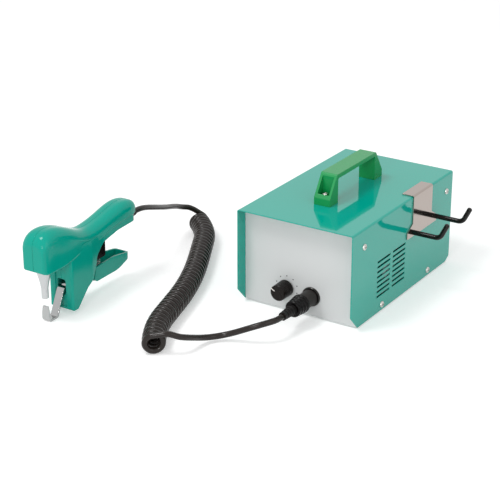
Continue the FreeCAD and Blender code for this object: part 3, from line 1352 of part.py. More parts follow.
def strain_relief():
    """Rubber strain relief held in the end of the grip."""
    end = BELLY_END + RELIEF_LONG
    profile = (
        (BELLY_END - RELIEF_STEM, 0), (BELLY_END - RELIEF_STEM, RELIEF_STEM_R), (BELLY_END, RELIEF_STEM_R),
        (BELLY_END, RELIEF_ROOT_R), (BELLY_END + 2, RELIEF_ROOT_R), (end, RELIEF_TIP_R), (end, 0),
    )
    return turned(profile, Vector(0, 0, RELIEF_Z), Y_AXIS, X_AXIS)


# Wound and free cord

def biarc(start, start_way, end, end_way):
    """Two tangent arcs from one point and direction to another."""
    chord = end - start
    ways = start_way + end_way
    spread = 2 * (1 - start_way.dot(end_way))
    along = chord.dot(ways)
    reach = (-along + math.sqrt(along * along + spread * chord.dot(chord))) / spread
    joint = (start + end + (start_way - end_way) * reach) * 0.5
    return [arc_from(start, start_way, joint), arc_from(end, end_way * -1, joint, True)]


def arc_from(start, way, end, reverse=False):
    """Arc that leaves a point in a direction and ends at another point."""
    chord = end - start
    across = chord - way * chord.dot(way)
    across.normalize()
    radius = chord.dot(chord) / (2 * chord.dot(across))
    centre = start + across * radius
    middle = centre + ((start + end) * 0.5 - centre).normalize() * radius
    if reverse:
        return Part.Arc(end, middle, start).toShape()
    return Part.Arc(start, middle, end).toShape()


def helix(centre_at, radius, turns, steps_per_turn=2):
    """Stations round an axis, each a point and its direction, and the winding's formula."""
    def spot(share):
        centre, left, up = centre_at(share)
        angle = 2 * math.pi * turns * share
        return centre + up * (radius * math.cos(angle)) + left * (radius * math.sin(angle))

    small = 1e-5
    stations = []
    count = math.ceil(turns * steps_per_turn)
    for step in range(count + 1):
        share = step / count
        before = spot(max(share - small, 0.0))
        after = spot(min(share + small, 1.0))
        stations.append((spot(share), (after - before).normalize()))
    return stations, spot


def least_gap(spot, turns, thickness, samples=24):
    """Least clear distance between a winding's neighbouring turns, measured on points."""
    count = math.ceil(turns * samples)
    points = [spot(step / count) for step in range(count + 1)]
    least = 1e9
    for index, point in enumerate(points):
        for other in points[index + samples // 2:index + 2 * samples]:
            least = min(least, (point - other).Length)
    return least - thickness


def polygon_section(centre, way, radius, sides):
    """Many-sided section of a tube, square to its direction."""
    first = way.cross(Z_AXIS)
    if first.Length < 0.1:
        first = way.cross(X_AXIS)
    first.normalize()
    second = way.cross(first)
    turn = [2 * math.pi * step / sides for step in range(sides + 1)]
    spots = [centre + first * (radius * math.cos(a)) + second * (radius * math.sin(a)) for a in turn]
    return Part.makePolygon(spots)


def wound_tube(stations, wire_r, straight, sides):
    """One unbroken tube through a winding's stations, with straight ends."""
    first, first_way = stations[0]
    last, last_way = stations[-1]
    start = first - first_way * straight
    edges = [Part.LineSegment(start, first).toShape()]
    for (a, a_way), (b, b_way) in zip(stations, stations[1:]):
        edges += biarc(a, a_way, b, b_way)
    edges.append(Part.LineSegment(last, last + last_way * straight).toShape())
    section = polygon_section(start, first_way, wire_r, sides)
    return Part.Wire(edges).makePipeShell([section], True, False)


def axis_spans():
    """Coil axis as quadratic spans, each from one leg's middle to the next."""
    spots = [Vector(x, y, COIL_Z) for x, y in COIL_AXIS]
    last = len(spots) - 3
    spans = []
    for index in range(len(spots) - 2):
        a, b, c = spots[index:index + 3]
        spans.append((a if index == 0 else (a + b) * 0.5, b, c if index == last else (b + c) * 0.5))
    return spans


def axis_table(spans, samples=60):
    """Span, place in the span and running length at even steps along the coil axis."""
    table = [(0, 0.0, 0.0)]
    before = spans[0][0]
    length = 0.0
    for index, span in enumerate(spans):
        for step in range(1, samples + 1):
            share = step / samples
            point = span_point(span, share)
            length += (point - before).Length
            before = point
            table.append((index, share, length))
    return table


def span_point(span, share):
    """Point on one quadratic span."""
    a, b, c = span
    rest = 1 - share
    return a * (rest * rest) + b * (2 * rest * share) + c * (share * share)


def coil_axis():
    """Function from a share of the coil's length to its axis point, left and up."""
    spans = axis_spans()
    table = axis_table(spans)
    total = table[-1][2]

    def at(share):
        wanted = share * total
        low, high = 0, len(table) - 1
        while high - low > 1:
            middle = (low + high) // 2
            if table[middle][2] <= wanted:
                low = middle
            else:
                high = middle
        index, end_share, end_length = table[high]
        start_share = table[low][1] if table[low][0] == index else 0.0
        inside = (wanted - table[low][2]) / (end_length - table[low][2])
        t = start_share + (end_share - start_share) * inside
        a, b, c = spans[index]
        way = ((b - a) * (1 - t) + (c - b) * t).normalize()
        return span_point(spans[index], t), Vector(-way.y, way.x, 0), Z_AXIS

    return at, total


def coil_cord():
    """Curly part of the cord lying on the floor, and the faces where its straight ends stop."""
    at, total = coil_axis()
    turns = COIL_TURNS + COIL_LAST_TURN / 360
    stations, spot = helix(at, COIL_R, turns)
    gap = least_gap(spot, turns, 2 * CORD_R)
    straight = 2 * CORD_R
    tube = wound_tube(stations, CORD_R, straight, CORD_SIDES)
    print("coil: axis %.0f mm, %.2f turns, least gap %.2f mm" % (total, turns, gap))
    near, near_way = stations[0]
    far, far_way = stations[-1]
    return tube, (near - near_way * straight, near_way * -1), (far + far_way * straight, far_way)


def return_spring():
    """Compression spring between the trigger's floor and the switch block."""
    floor = TRIGGER_LOW + TRIGGER_WALL + SPRING_WIRE_R
    ceiling = SWITCH_BLOCK_ZS[0] - SPRING_WIRE_R
    low = floor + FIT
    high = ceiling - FIT

    def at(share):
        return Vector(0, SPRING_Y, low + (high - low) * share), Y_AXIS, X_AXIS

    stations, spot = helix(at, SPRING_R, SPRING_TURNS)
    print("spring: least gap %.2f mm" % least_gap(spot, SPRING_TURNS, 2 * SPRING_WIRE_R))
    edges = []
    for (a, a_way), (b, b_way) in zip(stations, stations[1:]):
        edges += biarc(a, a_way, b, b_way)
    section = polygon_section(stations[0][0], stations[0][1], SPRING_WIRE_R, 6)
    return Part.Wire(edges).makePipeShell([section], True, False)


def cord_tube(node, points):
    """Free cord: straight runs joined by the largest arcs their lengths allow."""
    radii = []
    edges = []
    start = points[0]
    for before, corner, after in zip(points, points[1:], points[2:]):
        back = before - corner
        ahead = after - corner
        shorter = min(back.Length, ahead.Length)
        half_turn = (math.pi - back.getAngle(ahead)) / 2
        cut = 0.45 * shorter
        radius = cut / math.tan(half_turn)
        back.normalize()
        ahead.normalize()
        inward = (back + ahead).normalize()
        middle = corner + inward * (radius / math.cos(half_turn) - radius)
        edges.append(Part.LineSegment(start, corner + back * cut).toShape())
        edges.append(Part.Arc(corner + back * cut, middle, corner + ahead * cut).toShape())
        start = corner + ahead * cut
        radii.append(radius)
    edges.append(Part.LineSegment(start, points[-1]).toShape())
    path = Part.Wire(edges)
    way = (points[1] - points[0]).normalize()
    section = Part.Wire([Part.Circle(points[0], way, CORD_R).toShape()])
    tube = path.makePipeShell([section], True, False)
    share = tube.Volume / (math.pi * CORD_R ** 2 * path.Length)
    print("%s: length %.0f mm, radii %s, volume share %.3f"
          % (node, path.Length, [round(radius) for radius in radii], share))
    return tube


def free_cords(near, far):
    """Lead from the plug to the coil, and tail from the coil to the hand piece."""
    lead = [LEAD_START] + [Vector(*point) for point in LEAD_POINTS]
    lead += [near[0] + near[1] * COIL_RUN, near[0]]
    tail = [CORD_START] + [Vector(*point) for point in TAIL_POINTS]
    tail += [far[0] + far[1] * COIL_RUN, far[0]]
    return cord_tube("cord_lead", lead), cord_tube("cord_tail", tail)


# Build

def build_power_unit():
    """All pieces that stand with the power unit."""
    export("chassis", chassis())
    export("cover", cover())
    export("front_panel", front_panel())
    export("rubber_feet", *[rubber_foot(spot) for spot in foot_places()])
    export("cover_screws", *cover_screws())
    export("carry_handle", carry_handle())
    screws, nuts = handle_fixings()
    export("handle_screws", *screws)
    export("handle_nuts", *nuts)
    export("hook_bracket", hook_bracket())
    export("hook_rod_front", hook_rod(ROD_YS[0]))
    export("hook_rod_rear", hook_rod(ROD_YS[1]))
    export("hook_nuts", *hook_nuts())
    export("timer_knob", timer_knob())
    shaft, pot, nut = timer_parts()
    export("timer_shaft", shaft)
    export("timer_potentiometer", pot)
    export("timer_nut", nut)
    export("output_socket", output_socket())
    export("socket_nut", socket_nut())
    export("plug_sleeve", plug_sleeve())
    export("plug_shell", plug_shell())
    export("plug_boot", plug_boot())
    export("mains_inlet", mains_inlet())
    export("inlet_screws", *inlet_screws())
    export("power_switch_frame", switch_frame())
    export("power_rocker", power_rocker())
    export("fuse_holder", fuse_holder())
    core, winding = transformer()
    export("transformer_core", core)
    export("transformer_winding", winding)
    board, spacers = driver_board()
    export("driver_board", board)
    export("board_spacers", *spacers)
    export("heat_sink", heat_sink())
    export("capacitors", *capacitors())
    export("output_coil", output_coil())


def build_hand_piece():
    """All pieces of the hand piece, set down in its place."""
    left, right = shells()
    export("shell_left", set_down(left))
    export("shell_right", set_down(right))
    export("shell_screws", *[set_down(screw) for screw in shell_screws()])
    export("horn", set_down(horn()))
    front, discs, back, bolt = transducer()
    export("transducer_front", set_down(front))
    export("piezo_discs", *[set_down(disc) for disc in discs])
    export("transducer_back", set_down(back))
    export("transducer_bolt", set_down(bolt))
    export("anvil_lever", set_down(anvil_lever()))
    export("anvil_pin", set_down(cross_pin(ANVIL_PIVOT, PIN_R, PIN_HALF)))
    export("trigger", set_down(trigger()))
    export("trigger_pin", set_down(cross_pin(TRIGGER_PIVOT, PIN_R, PIN_HALF)))
    export("trigger_switch", set_down(trigger_switch()))
    export("switch_plunger", set_down(switch_plunger()))
    export("return_spring", set_down(return_spring()))
    export("strain_relief", set_down(strain_relief()))


def build_cord():
    """The coil and the two free stretches."""
    coil, near, far = coil_cord()
    lead, tail = free_cords(near, far)
    export("coil_cord", coil)
    export("cord_lead", lead)
    export("cord_tail", tail)


os.makedirs("parts", exist_ok=True)
build_power_unit()
build_hand_piece()
build_cord()
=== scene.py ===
"""Looks of an ultrasonic point sealer: power unit, coiled cord and squeeze hand piece.

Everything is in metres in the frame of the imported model: +Z is up, the floor is at Z = 0 and the
power unit's panel faces -Y. Sizes that a maker would quote in millimetres are written in millimetres
and turned to metres by the MM factor.
"""

from __future__ import annotations

import logging
import math
from dataclasses import dataclass, field
from enum import Enum

import bmesh
import bpy
from bpy.types import Material, Mesh, Node, NodeSocket, NodeTree, Object, World
from mathutils import Matrix, Vector

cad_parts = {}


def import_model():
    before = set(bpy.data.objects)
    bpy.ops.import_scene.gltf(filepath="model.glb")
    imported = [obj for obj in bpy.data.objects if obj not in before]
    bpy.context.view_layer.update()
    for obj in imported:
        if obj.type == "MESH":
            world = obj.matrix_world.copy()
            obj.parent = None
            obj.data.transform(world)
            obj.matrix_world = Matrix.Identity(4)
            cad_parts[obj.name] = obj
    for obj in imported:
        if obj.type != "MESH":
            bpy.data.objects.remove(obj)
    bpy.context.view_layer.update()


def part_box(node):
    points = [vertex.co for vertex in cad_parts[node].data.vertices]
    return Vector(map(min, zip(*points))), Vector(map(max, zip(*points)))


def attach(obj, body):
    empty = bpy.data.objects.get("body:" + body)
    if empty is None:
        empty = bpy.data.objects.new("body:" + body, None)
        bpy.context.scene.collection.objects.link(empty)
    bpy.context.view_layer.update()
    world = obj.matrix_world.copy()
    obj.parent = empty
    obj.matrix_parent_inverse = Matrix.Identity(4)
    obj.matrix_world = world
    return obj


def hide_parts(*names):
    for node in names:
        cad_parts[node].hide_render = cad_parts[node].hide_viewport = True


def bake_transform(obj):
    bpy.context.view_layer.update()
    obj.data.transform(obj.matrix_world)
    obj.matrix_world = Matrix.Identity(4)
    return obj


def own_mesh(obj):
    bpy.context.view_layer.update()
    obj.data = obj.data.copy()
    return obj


MM = 0.001
WHITE = (1.0, 1.0, 1.0, 1.0)
LOG = logging.getLogger("point_sealer")
# Corners of loose triangles that lie closer than this are one corner.
WELD = 0.002 * MM
# Edges that turn by less than this many degrees are shaded smooth.
SMOOTH_DEGREES = 32.0
# Order of the NURBS lines, which makes them quadratic, and steps in a quarter of a tube's round.
LINE_ORDER = 3
TUBE_STEPS = 4


def linear(hex_colour: str) -> tuple[float, float, float, float]:
    """Turn an sRGB hex colour into linear RGBA.

    Args:
        hex_colour: A colour such as "#03A78D".

    Returns:
        Linear red, green and blue with an alpha of 1.
    """
    parts = [int(hex_colour[i:i + 2], 16) / 255 for i in (1, 3, 5)]
    flat = [p / 12.92 if p <= 0.04045 else ((p + 0.055) / 1.055) ** 2.4 for p in parts]
    return (flat[0], flat[1], flat[2], 1.0)


def add(
    tree: NodeTree, kind: str, inputs: dict[str | int, object] | None = None, **settings: object,
) -> Node:
    """Add a node, set its properties, and set or link its inputs.

    Args:
        tree: The node tree that gets the node.
        kind: Blender's name of the node type.
        inputs: Socket name or number against a value, an output, or a node whose first output is linked.
        **settings: Properties of the node itself.

    Returns:
        The new node.
    """
    made = tree.nodes.new(kind)
    for name, value in settings.items():
        setattr(made, name, value)
    for key, value in (inputs or {}).items():
        if isinstance(value, Node):
            tree.links.new(value.outputs[0], made.inputs[key])
        elif isinstance(value, NodeSocket):
            tree.links.new(value, made.inputs[key])
        else:
            made.inputs[key].default_value = value
    return made


def bare_tree(owner: Material | World) -> NodeTree:
    """Give a material or a world an empty node tree.

    Args:
        owner: The material or world.

    Returns:
        Its node tree.
    """
    owner.use_nodes = True
    owner.node_tree.nodes.clear()
    return owner.node_tree


def show(thing: Object) -> None:
    """Link an object into the scene."""
    bpy.context.scene.collection.objects.link(thing)


class Grain(Enum):
    """How a surface's fine grain runs, as the pattern's stretch along X, Y and Z."""

    EVEN = (1.0, 1.0, 1.0)
    BRUSHED_ALONG_Y = (1.0, 0.03, 1.0)
    TURNED_ABOUT_Z = (0.05, 0.05, 1.0)
    TURNED_ABOUT_Y = (0.05, 1.0, 0.05)


class Socket(Enum):
    """Kinds of value that a node group takes in."""

    GEOMETRY = "NodeSocketGeometry"
    FLOAT = "NodeSocketFloat"
    COUNT = "NodeSocketInt"
    VECTOR = "NodeSocketVector"
    MATERIAL = "NodeSocketMaterial"


@dataclass(frozen=True)
class Finish:
    """One real material and the way its surface was made.

    Attributes:
        name: Common name of the material and its making.
        colour: Base colour as sRGB hex.
        roughness: Middle roughness of the surface.
        metallic: 1 for bare metal.
        ior: Index of refraction. A metal keeps the default.
        specular: Strength of the clear reflection, where 0.5 is what the index gives.
        shade: Share by which the colour darkens in patches.
        shade_mm: Size of those patches.
        rough_spread: How far the roughness wanders either way.
        grain_mm: Width of the fine grain in the bump, drawn coarser than in life where it wouldn't show.
        grain_depth_mm: Height of that grain.
        edge_mm: Radius to which a sharp edge is rounded for the eye.
        grain: Which way the grain runs.
    """

    name: str
    colour: str
    roughness: float
    metallic: float = 0.0
    ior: float = 1.5
    specular: float = 0.5
    shade: float = 0.06
    shade_mm: float = 40.0
    rough_spread: float = 0.04
    grain_mm: float = 0.8
    grain_depth_mm: float = 0.004
    edge_mm: float = 0.3
    grain: Grain = Grain.EVEN

    # Octaves of the two noises, the noise values between which the roughness wanders, the least
    # roughness that is drawn, and the samples that round an edge.
    PATCH_DETAIL = 3.0
    GRAIN_DETAIL = 2.0
    PATCH_FROM = 0.3
    PATCH_TO = 0.7
    LEAST_ROUGHNESS = 0.02
    EDGE_SAMPLES = 6

    def make(self) -> Material:
        """Build the node material, or find it if it was built before.

        Returns:
            The material.
        """
        found = bpy.data.materials.get(self.name)
        if found:
            return found
        material = bpy.data.materials.new(self.name)
        tree = bare_tree(material)
        where = add(tree, "ShaderNodeTexCoord").outputs["Object"]
        patches = add(tree, "ShaderNodeTexNoise", {
            "Vector": where, "Scale": 1 / (self.shade_mm * MM), "Detail": self.PATCH_DETAIL,
        })
        base = linear(self.colour)
        dark = tuple(c * (1 - self.shade) for c in base[:3]) + (1.0,)
        tint = add(tree, "ShaderNodeMix", {0: patches, 6: dark, 7: base}, data_type="RGBA")
        worn = add(tree, "ShaderNodeMapRange", {
            "Value": patches, "From Min": self.PATCH_FROM, "From Max": self.PATCH_TO,
            "To Min": max(self.roughness - self.rough_spread, self.LEAST_ROUGHNESS),
            "To Max": self.roughness + self.rough_spread,
        })
        run = add(tree, "ShaderNodeMapping", {"Vector": where, "Scale": self.grain.value})
        grit = add(tree, "ShaderNodeTexNoise", {
            "Vector": run.outputs["Vector"], "Scale": 1 / (self.grain_mm * MM), "Detail": self.GRAIN_DETAIL,
        })
        edge = add(tree, "ShaderNodeBevel", {"Radius": self.edge_mm * MM}, samples=self.EDGE_SAMPLES)
        bump = add(tree, "ShaderNodeBump", {
            "Strength": 1.0, "Distance": self.grain_depth_mm * MM, "Height": grit,
            "Normal": edge.outputs["Normal"],
        })
        shader = add(tree, "ShaderNodeBsdfPrincipled", {
            "Base Color": tint.outputs[2], "Roughness": worn.outputs["Result"], "Metallic": self.metallic,
            "IOR": self.ior, "Specular IOR Level": self.specular, "Normal": bump.outputs["Normal"],
        })
        add(tree, "ShaderNodeOutputMaterial", {"Surface": shader.outputs["BSDF"]})
        return material


# Stoved enamel on sheet steel: a deep, even gloss that mirrors the handle, with a faint orange peel.
ENAMEL = Finish(
    "stoved_enamel_teal", "#00A896", 0.06, ior=1.52, shade=0.03, shade_mm=90, rough_spread=0.02,
    grain_mm=3.0, grain_depth_mm=0.006, edge_mm=0.5,
)
# Injection-moulded ABS, polished mould: bright and glossy, slightly softer than the enamel.
ABS_TEAL = Finish(
    "moulded_abs_teal", "#00A28F", 0.12, ior=1.54, specular=0.2, shade=0.05, grain_mm=1.2, edge_mm=0.6,
)
# Polypropylene from a spark-eroded mould: a soft sheen over a fine even grain.
HANDLE_GREEN = Finish(
    "moulded_polypropylene_green", "#0C9850", 0.28, ior=1.49, shade=0.08, grain_mm=0.7,
    grain_depth_mm=0.02, edge_mm=0.7,
)
# Lacquered aluminium sheet: flat pale grey with a satin bloom.
PANEL_GREY = Finish(
    "satin_lacquer_grey", "#D9DBDB", 0.42, shade=0.03, shade_mm=120, grain_mm=0.6, edge_mm=0.2,
)
# Phenolic moulding: nearly black, warm, with a hand-polished shine on the ridges.
PHENOLIC = Finish(
    "moulded_phenolic_black", "#17120F", 0.28, ior=1.6, specular=0.12, shade=0.2, shade_mm=8,
    grain_depth_mm=0.006,
)
# Glass-filled nylon from a bright mould: black with clear highlights.
NYLON_BLACK = Finish(
    "moulded_nylon_black", "#0B0909", 0.18, ior=1.53, specular=0.13, shade=0.2, shade_mm=10, edge_mm=0.4,
)
# Glass-filled nylon left as moulded: dark grey and dull.
NYLON_GREY = Finish(
    "moulded_nylon_grey", "#262220", 0.48, ior=1.53, specular=0.25, shade=0.15, shade_mm=8,
    grain_depth_mm=0.012,
)
# Moulded rubber: matt black with a dusty bloom.
RUBBER = Finish(
    "moulded_rubber_black", "#141111", 0.5, ior=1.52, specular=0.25, shade=0.2, shade_mm=12, grain_mm=0.5,
    grain_depth_mm=0.012,
)
# Extruded polyurethane jacket: nearly black and warm, smooth and shiny, with a faint unevenness.
JACKET = Finish(
    "extruded_polyurethane_jacket", "#221B17", 0.2, specular=0.33, shade=0.14, shade_mm=14,
    rough_spread=0.07, grain_mm=0.9, grain_depth_mm=0.012, edge_mm=0.1,
)
# Polished stainless sheet: near-mirror, with fine lines left by the wheel.
MIRROR_STEEL = Finish(
    "polished_stainless_steel", "#ACA19A", 0.1, metallic=1.0, shade=0.05, shade_mm=30, rough_spread=0.03,
    grain_mm=0.25, grain_depth_mm=0.0015, grain=Grain.BRUSHED_ALONG_Y,
)
# Ground tool steel: cool grey, satin along the stroke of the wheel.
GROUND_STEEL = Finish(
    "ground_tool_steel", "#B4B5B5", 0.14, metallic=1.0, shade=0.12, shade_mm=10, grain_mm=0.3,
    grain_depth_mm=0.002, grain=Grain.BRUSHED_ALONG_Y,
)
# Zinc-plated steel fasteners: bright grey with a soft haze.
ZINC_PLATE = Finish(
    "zinc_plated_steel", "#D2D1CC", 0.26, metallic=1.0, shade=0.15, shade_mm=3, grain_mm=0.3,
    grain_depth_mm=0.002,
)
# Turned aluminium: pale and satin, with rings left by the tool.
TURNED_ALUMINIUM = Finish(
    "turned_aluminium", "#C3C5C6", 0.32, metallic=1.0, shade_mm=12, grain_mm=0.35,
    grain=Grain.TURNED_ABOUT_Z,
)
# PVC dip over steel rod: thick, black and shiny, a little uneven.
DIPPED_PVC = Finish(
    "dipped_pvc_black", "#120E0D", 0.2, ior=1.53, specular=0.25, shade=0.2, shade_mm=10, grain_mm=4.0,
    grain_depth_mm=0.05,
)
# Black chrome on die-cast zinc: dark mirror round the socket.
BLACK_CHROME = Finish(
    "black_chromed_zinc", "#3A3938", 0.25, metallic=1.0, shade=0.1, shade_mm=6,
    grain=Grain.TURNED_ABOUT_Y,
)
# Screen-printing ink: flat dark grey film.
DARK_INK = Finish("screen_ink_dark", "#1C1C1D", 0.55, shade=0.05, shade_mm=2, grain_mm=0.2, edge_mm=0.05)
# Paint wiped into a groove: flat warm white.
WHITE_PAINT = Finish("groove_paint_white", "#F1EFE8", 0.5, shade_mm=2, grain_mm=0.3, edge_mm=0.05)
# Nickel plate on brass blades: bright metal with a faint yellow cast.
NICKEL = Finish("nickel_plated_brass", "#CFC8B4", 0.22, metallic=1.0, shade=0.08, shade_mm=4)
# Enamelled copper wire: orange metal under clear varnish.
COPPER = Finish("enamelled_copper_wire", "#B4622B", 0.28, metallic=1.0, shade=0.15, shade_mm=4)
# Stacked silicon-steel laminations: dull grey with an edge line for each sheet.
LAMINATION = Finish(
    "laminated_silicon_steel", "#6E7074", 0.5, metallic=1.0, grain_mm=0.5, grain_depth_mm=0.05,
    grain=Grain.TURNED_ABOUT_Y,
)
# Glass-epoxy laminate under green solder mask: a satin film with a faint weave.
CIRCUIT_BOARD = Finish(
    "glass_epoxy_board_green", "#0C5A36", 0.42, shade=0.2, shade_mm=3, grain_mm=0.6, grain_depth_mm=0.02,
)
# Shrink sleeve on capacitor cans: dark blue film.
SLEEVED_CAN = Finish("sleeved_capacitor_blue", "#1B2B52", 0.35, shade=0.1, shade_mm=8)
# Fired piezo ceramic: matt biscuit colour.
CERAMIC = Finish("fired_piezo_ceramic", "#C8BB97", 0.6, shade=0.1, shade_mm=5)
# Hard-drawn spring wire: grey and a little oily.
SPRING_WIRE = Finish("drawn_spring_steel", "#9A9996", 0.28, metallic=1.0, shade=0.1, shade_mm=2)


def paint(mesh: Mesh, finish: Finish) -> None:
    """Give a mesh one finish and no other."""
    mesh.materials.clear()
    mesh.materials.append(finish.make())


def dress(finish: Finish, *nodes: str) -> None:
    """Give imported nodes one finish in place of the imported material.

    Args:
        finish: The finish to use.
        *nodes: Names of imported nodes.
    """
    for name in nodes:
        paint(bpy.data.objects[name].data, finish)
        LOG.info("node %s: %s", name, finish.name)


def place(name: str, mesh: Mesh, finish: Finish, body: str) -> Object:
    """Put a finished mesh in the scene as a piece that rides on a body.

    Args:
        name: Name of the new piece.
        mesh: Its mesh, already where it belongs.
        finish: Its finish.
        body: The body it rides on.

    Returns:
        The new object.
    """
    paint(mesh, finish)
    piece = bpy.data.objects.new(name, mesh)
    show(piece)
    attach(piece, body)
    LOG.info("piece %s: %d faces, %s", name, len(mesh.polygons), finish.name)
    return piece


def merged(node: str) -> bmesh.types.BMesh:
    """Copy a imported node's mesh, in the frame, with its loose triangles joined.

    Args:
        node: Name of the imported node.

    Returns:
        The joined copy, which the caller frees.
    """
    source = bpy.data.objects[node]
    work = bmesh.new()
    work.from_mesh(source.data)
    work.transform(source.matrix_world)
    bmesh.ops.remove_doubles(work, verts=work.verts, dist=WELD)
    return work


def solid_boxes(node: str) -> list[tuple[Vector, Vector]]:
    """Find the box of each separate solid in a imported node.

    Args:
        node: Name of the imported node.

    Returns:
        Lowest and highest corner of each solid, in order of place.
    """
    work = merged(node)
    left = set(work.verts)
    boxes = []
    while left:
        todo = [left.pop()]
        island = []
        while todo:
            vertex = todo.pop()
            island.append(vertex.co.copy())
            for edge in vertex.link_edges:
                other = edge.other_vert(vertex)
                if other in left:
                    left.discard(other)
                    todo.append(other)
        low = Vector([min(co[axis] for co in island) for axis in range(3)])
        high = Vector([max(co[axis] for co in island) for axis in range(3)])
        boxes.append((low, high))
    work.free()
    return sorted(boxes, key=lambda box: tuple(box[0]))


def mesh_of(name: str, work: bmesh.types.BMesh) -> Mesh:
    """Turn an edited mesh into a plain one and free it.

    Args:
        name: Name of the new mesh.
        work: The edited mesh.

    Returns:
        The plain mesh.
    """
    mesh = bpy.data.meshes.new(name)
    work.to_mesh(mesh)
    work.free()
    return mesh


def smooth_by_angle(mesh: Mesh, degrees: float = SMOOTH_DEGREES) -> None:
    """Shade a mesh smooth except across edges sharper than an angle.

    Args:
        mesh: The mesh, which is changed in place.
        degrees: The angle.
    """
    mesh.shade_smooth()
    work = bmesh.new()
    work.from_mesh(mesh)
    for edge in work.edges:
        edge.smooth = edge.calc_face_angle(math.pi) < math.radians(degrees)
    work.to_mesh(mesh)
    work.free()


class Workshop:
    """Turns node groups into plain meshes."""

    @staticmethod
    def group(name: str, sockets: dict[str, Socket]) -> tuple[NodeTree, Node]:
        """Start a geometry node group with named inputs.

        Args:
            name: Name of the group.
            sockets: Input name against the kind of input.

        Returns:
            The group and its input node.
        """
        tree = bpy.data.node_groups.new(name, "GeometryNodeTree")
        for label, kind in {"Geometry": Socket.GEOMETRY, **sockets}.items():
            tree.interface.new_socket(name=label, in_out="INPUT", socket_type=kind.value)
        tree.interface.new_socket(name="Geometry", in_out="OUTPUT", socket_type=Socket.GEOMETRY.value)
        return tree, add(tree, "NodeGroupInput")

    @staticmethod
    def close(tree: NodeTree, last: Node, material: NodeSocket) -> None:
        """End a group in real geometry that carries its material.

        Args:
            tree: The group.
            last: The node that gives its instances.
            material: The input that holds its material.
        """
        real = add(tree, "GeometryNodeRealizeInstances", {"Geometry": last})
        painted = add(tree, "GeometryNodeSetMaterial", {"Geometry": real, "Material": material})
        add(tree, "NodeGroupOutput", {"Geometry": painted})

    @staticmethod
    def run(tree: NodeTree, start: Mesh, values: dict[str, object]) -> Mesh:
        """Run a group once on a mesh.

        Args:
            tree: The group.
            start: The mesh that goes in.
            values: Input name against its value.

        Returns:
            The plain mesh that comes out.
        """
        work = bpy.data.objects.new("work", start)
        show(work)
        modifier = work.modifiers.new("make", "NODES")
        modifier.node_group = tree
        for item in tree.interface.items_tree:
            if item.in_out == "INPUT" and item.name in values:
                modifier[item.identifier] = values[item.name]
        graph = bpy.context.evaluated_depsgraph_get()
        mesh = bpy.data.meshes.new_from_object(work.evaluated_get(graph))
        work.modifiers.remove(modifier)
        bpy.data.objects.remove(work)
        return mesh


@dataclass(frozen=True)
class ScrewSize:
    """Sizes of one kind of screw, mm.

    Attributes:
        head_radius: Radius of the head.
        head_height: Height of the head over its seat.
        shank_radius: Radius of the shank.
    """

    head_radius: float
    head_height: float
    shank_radius: float


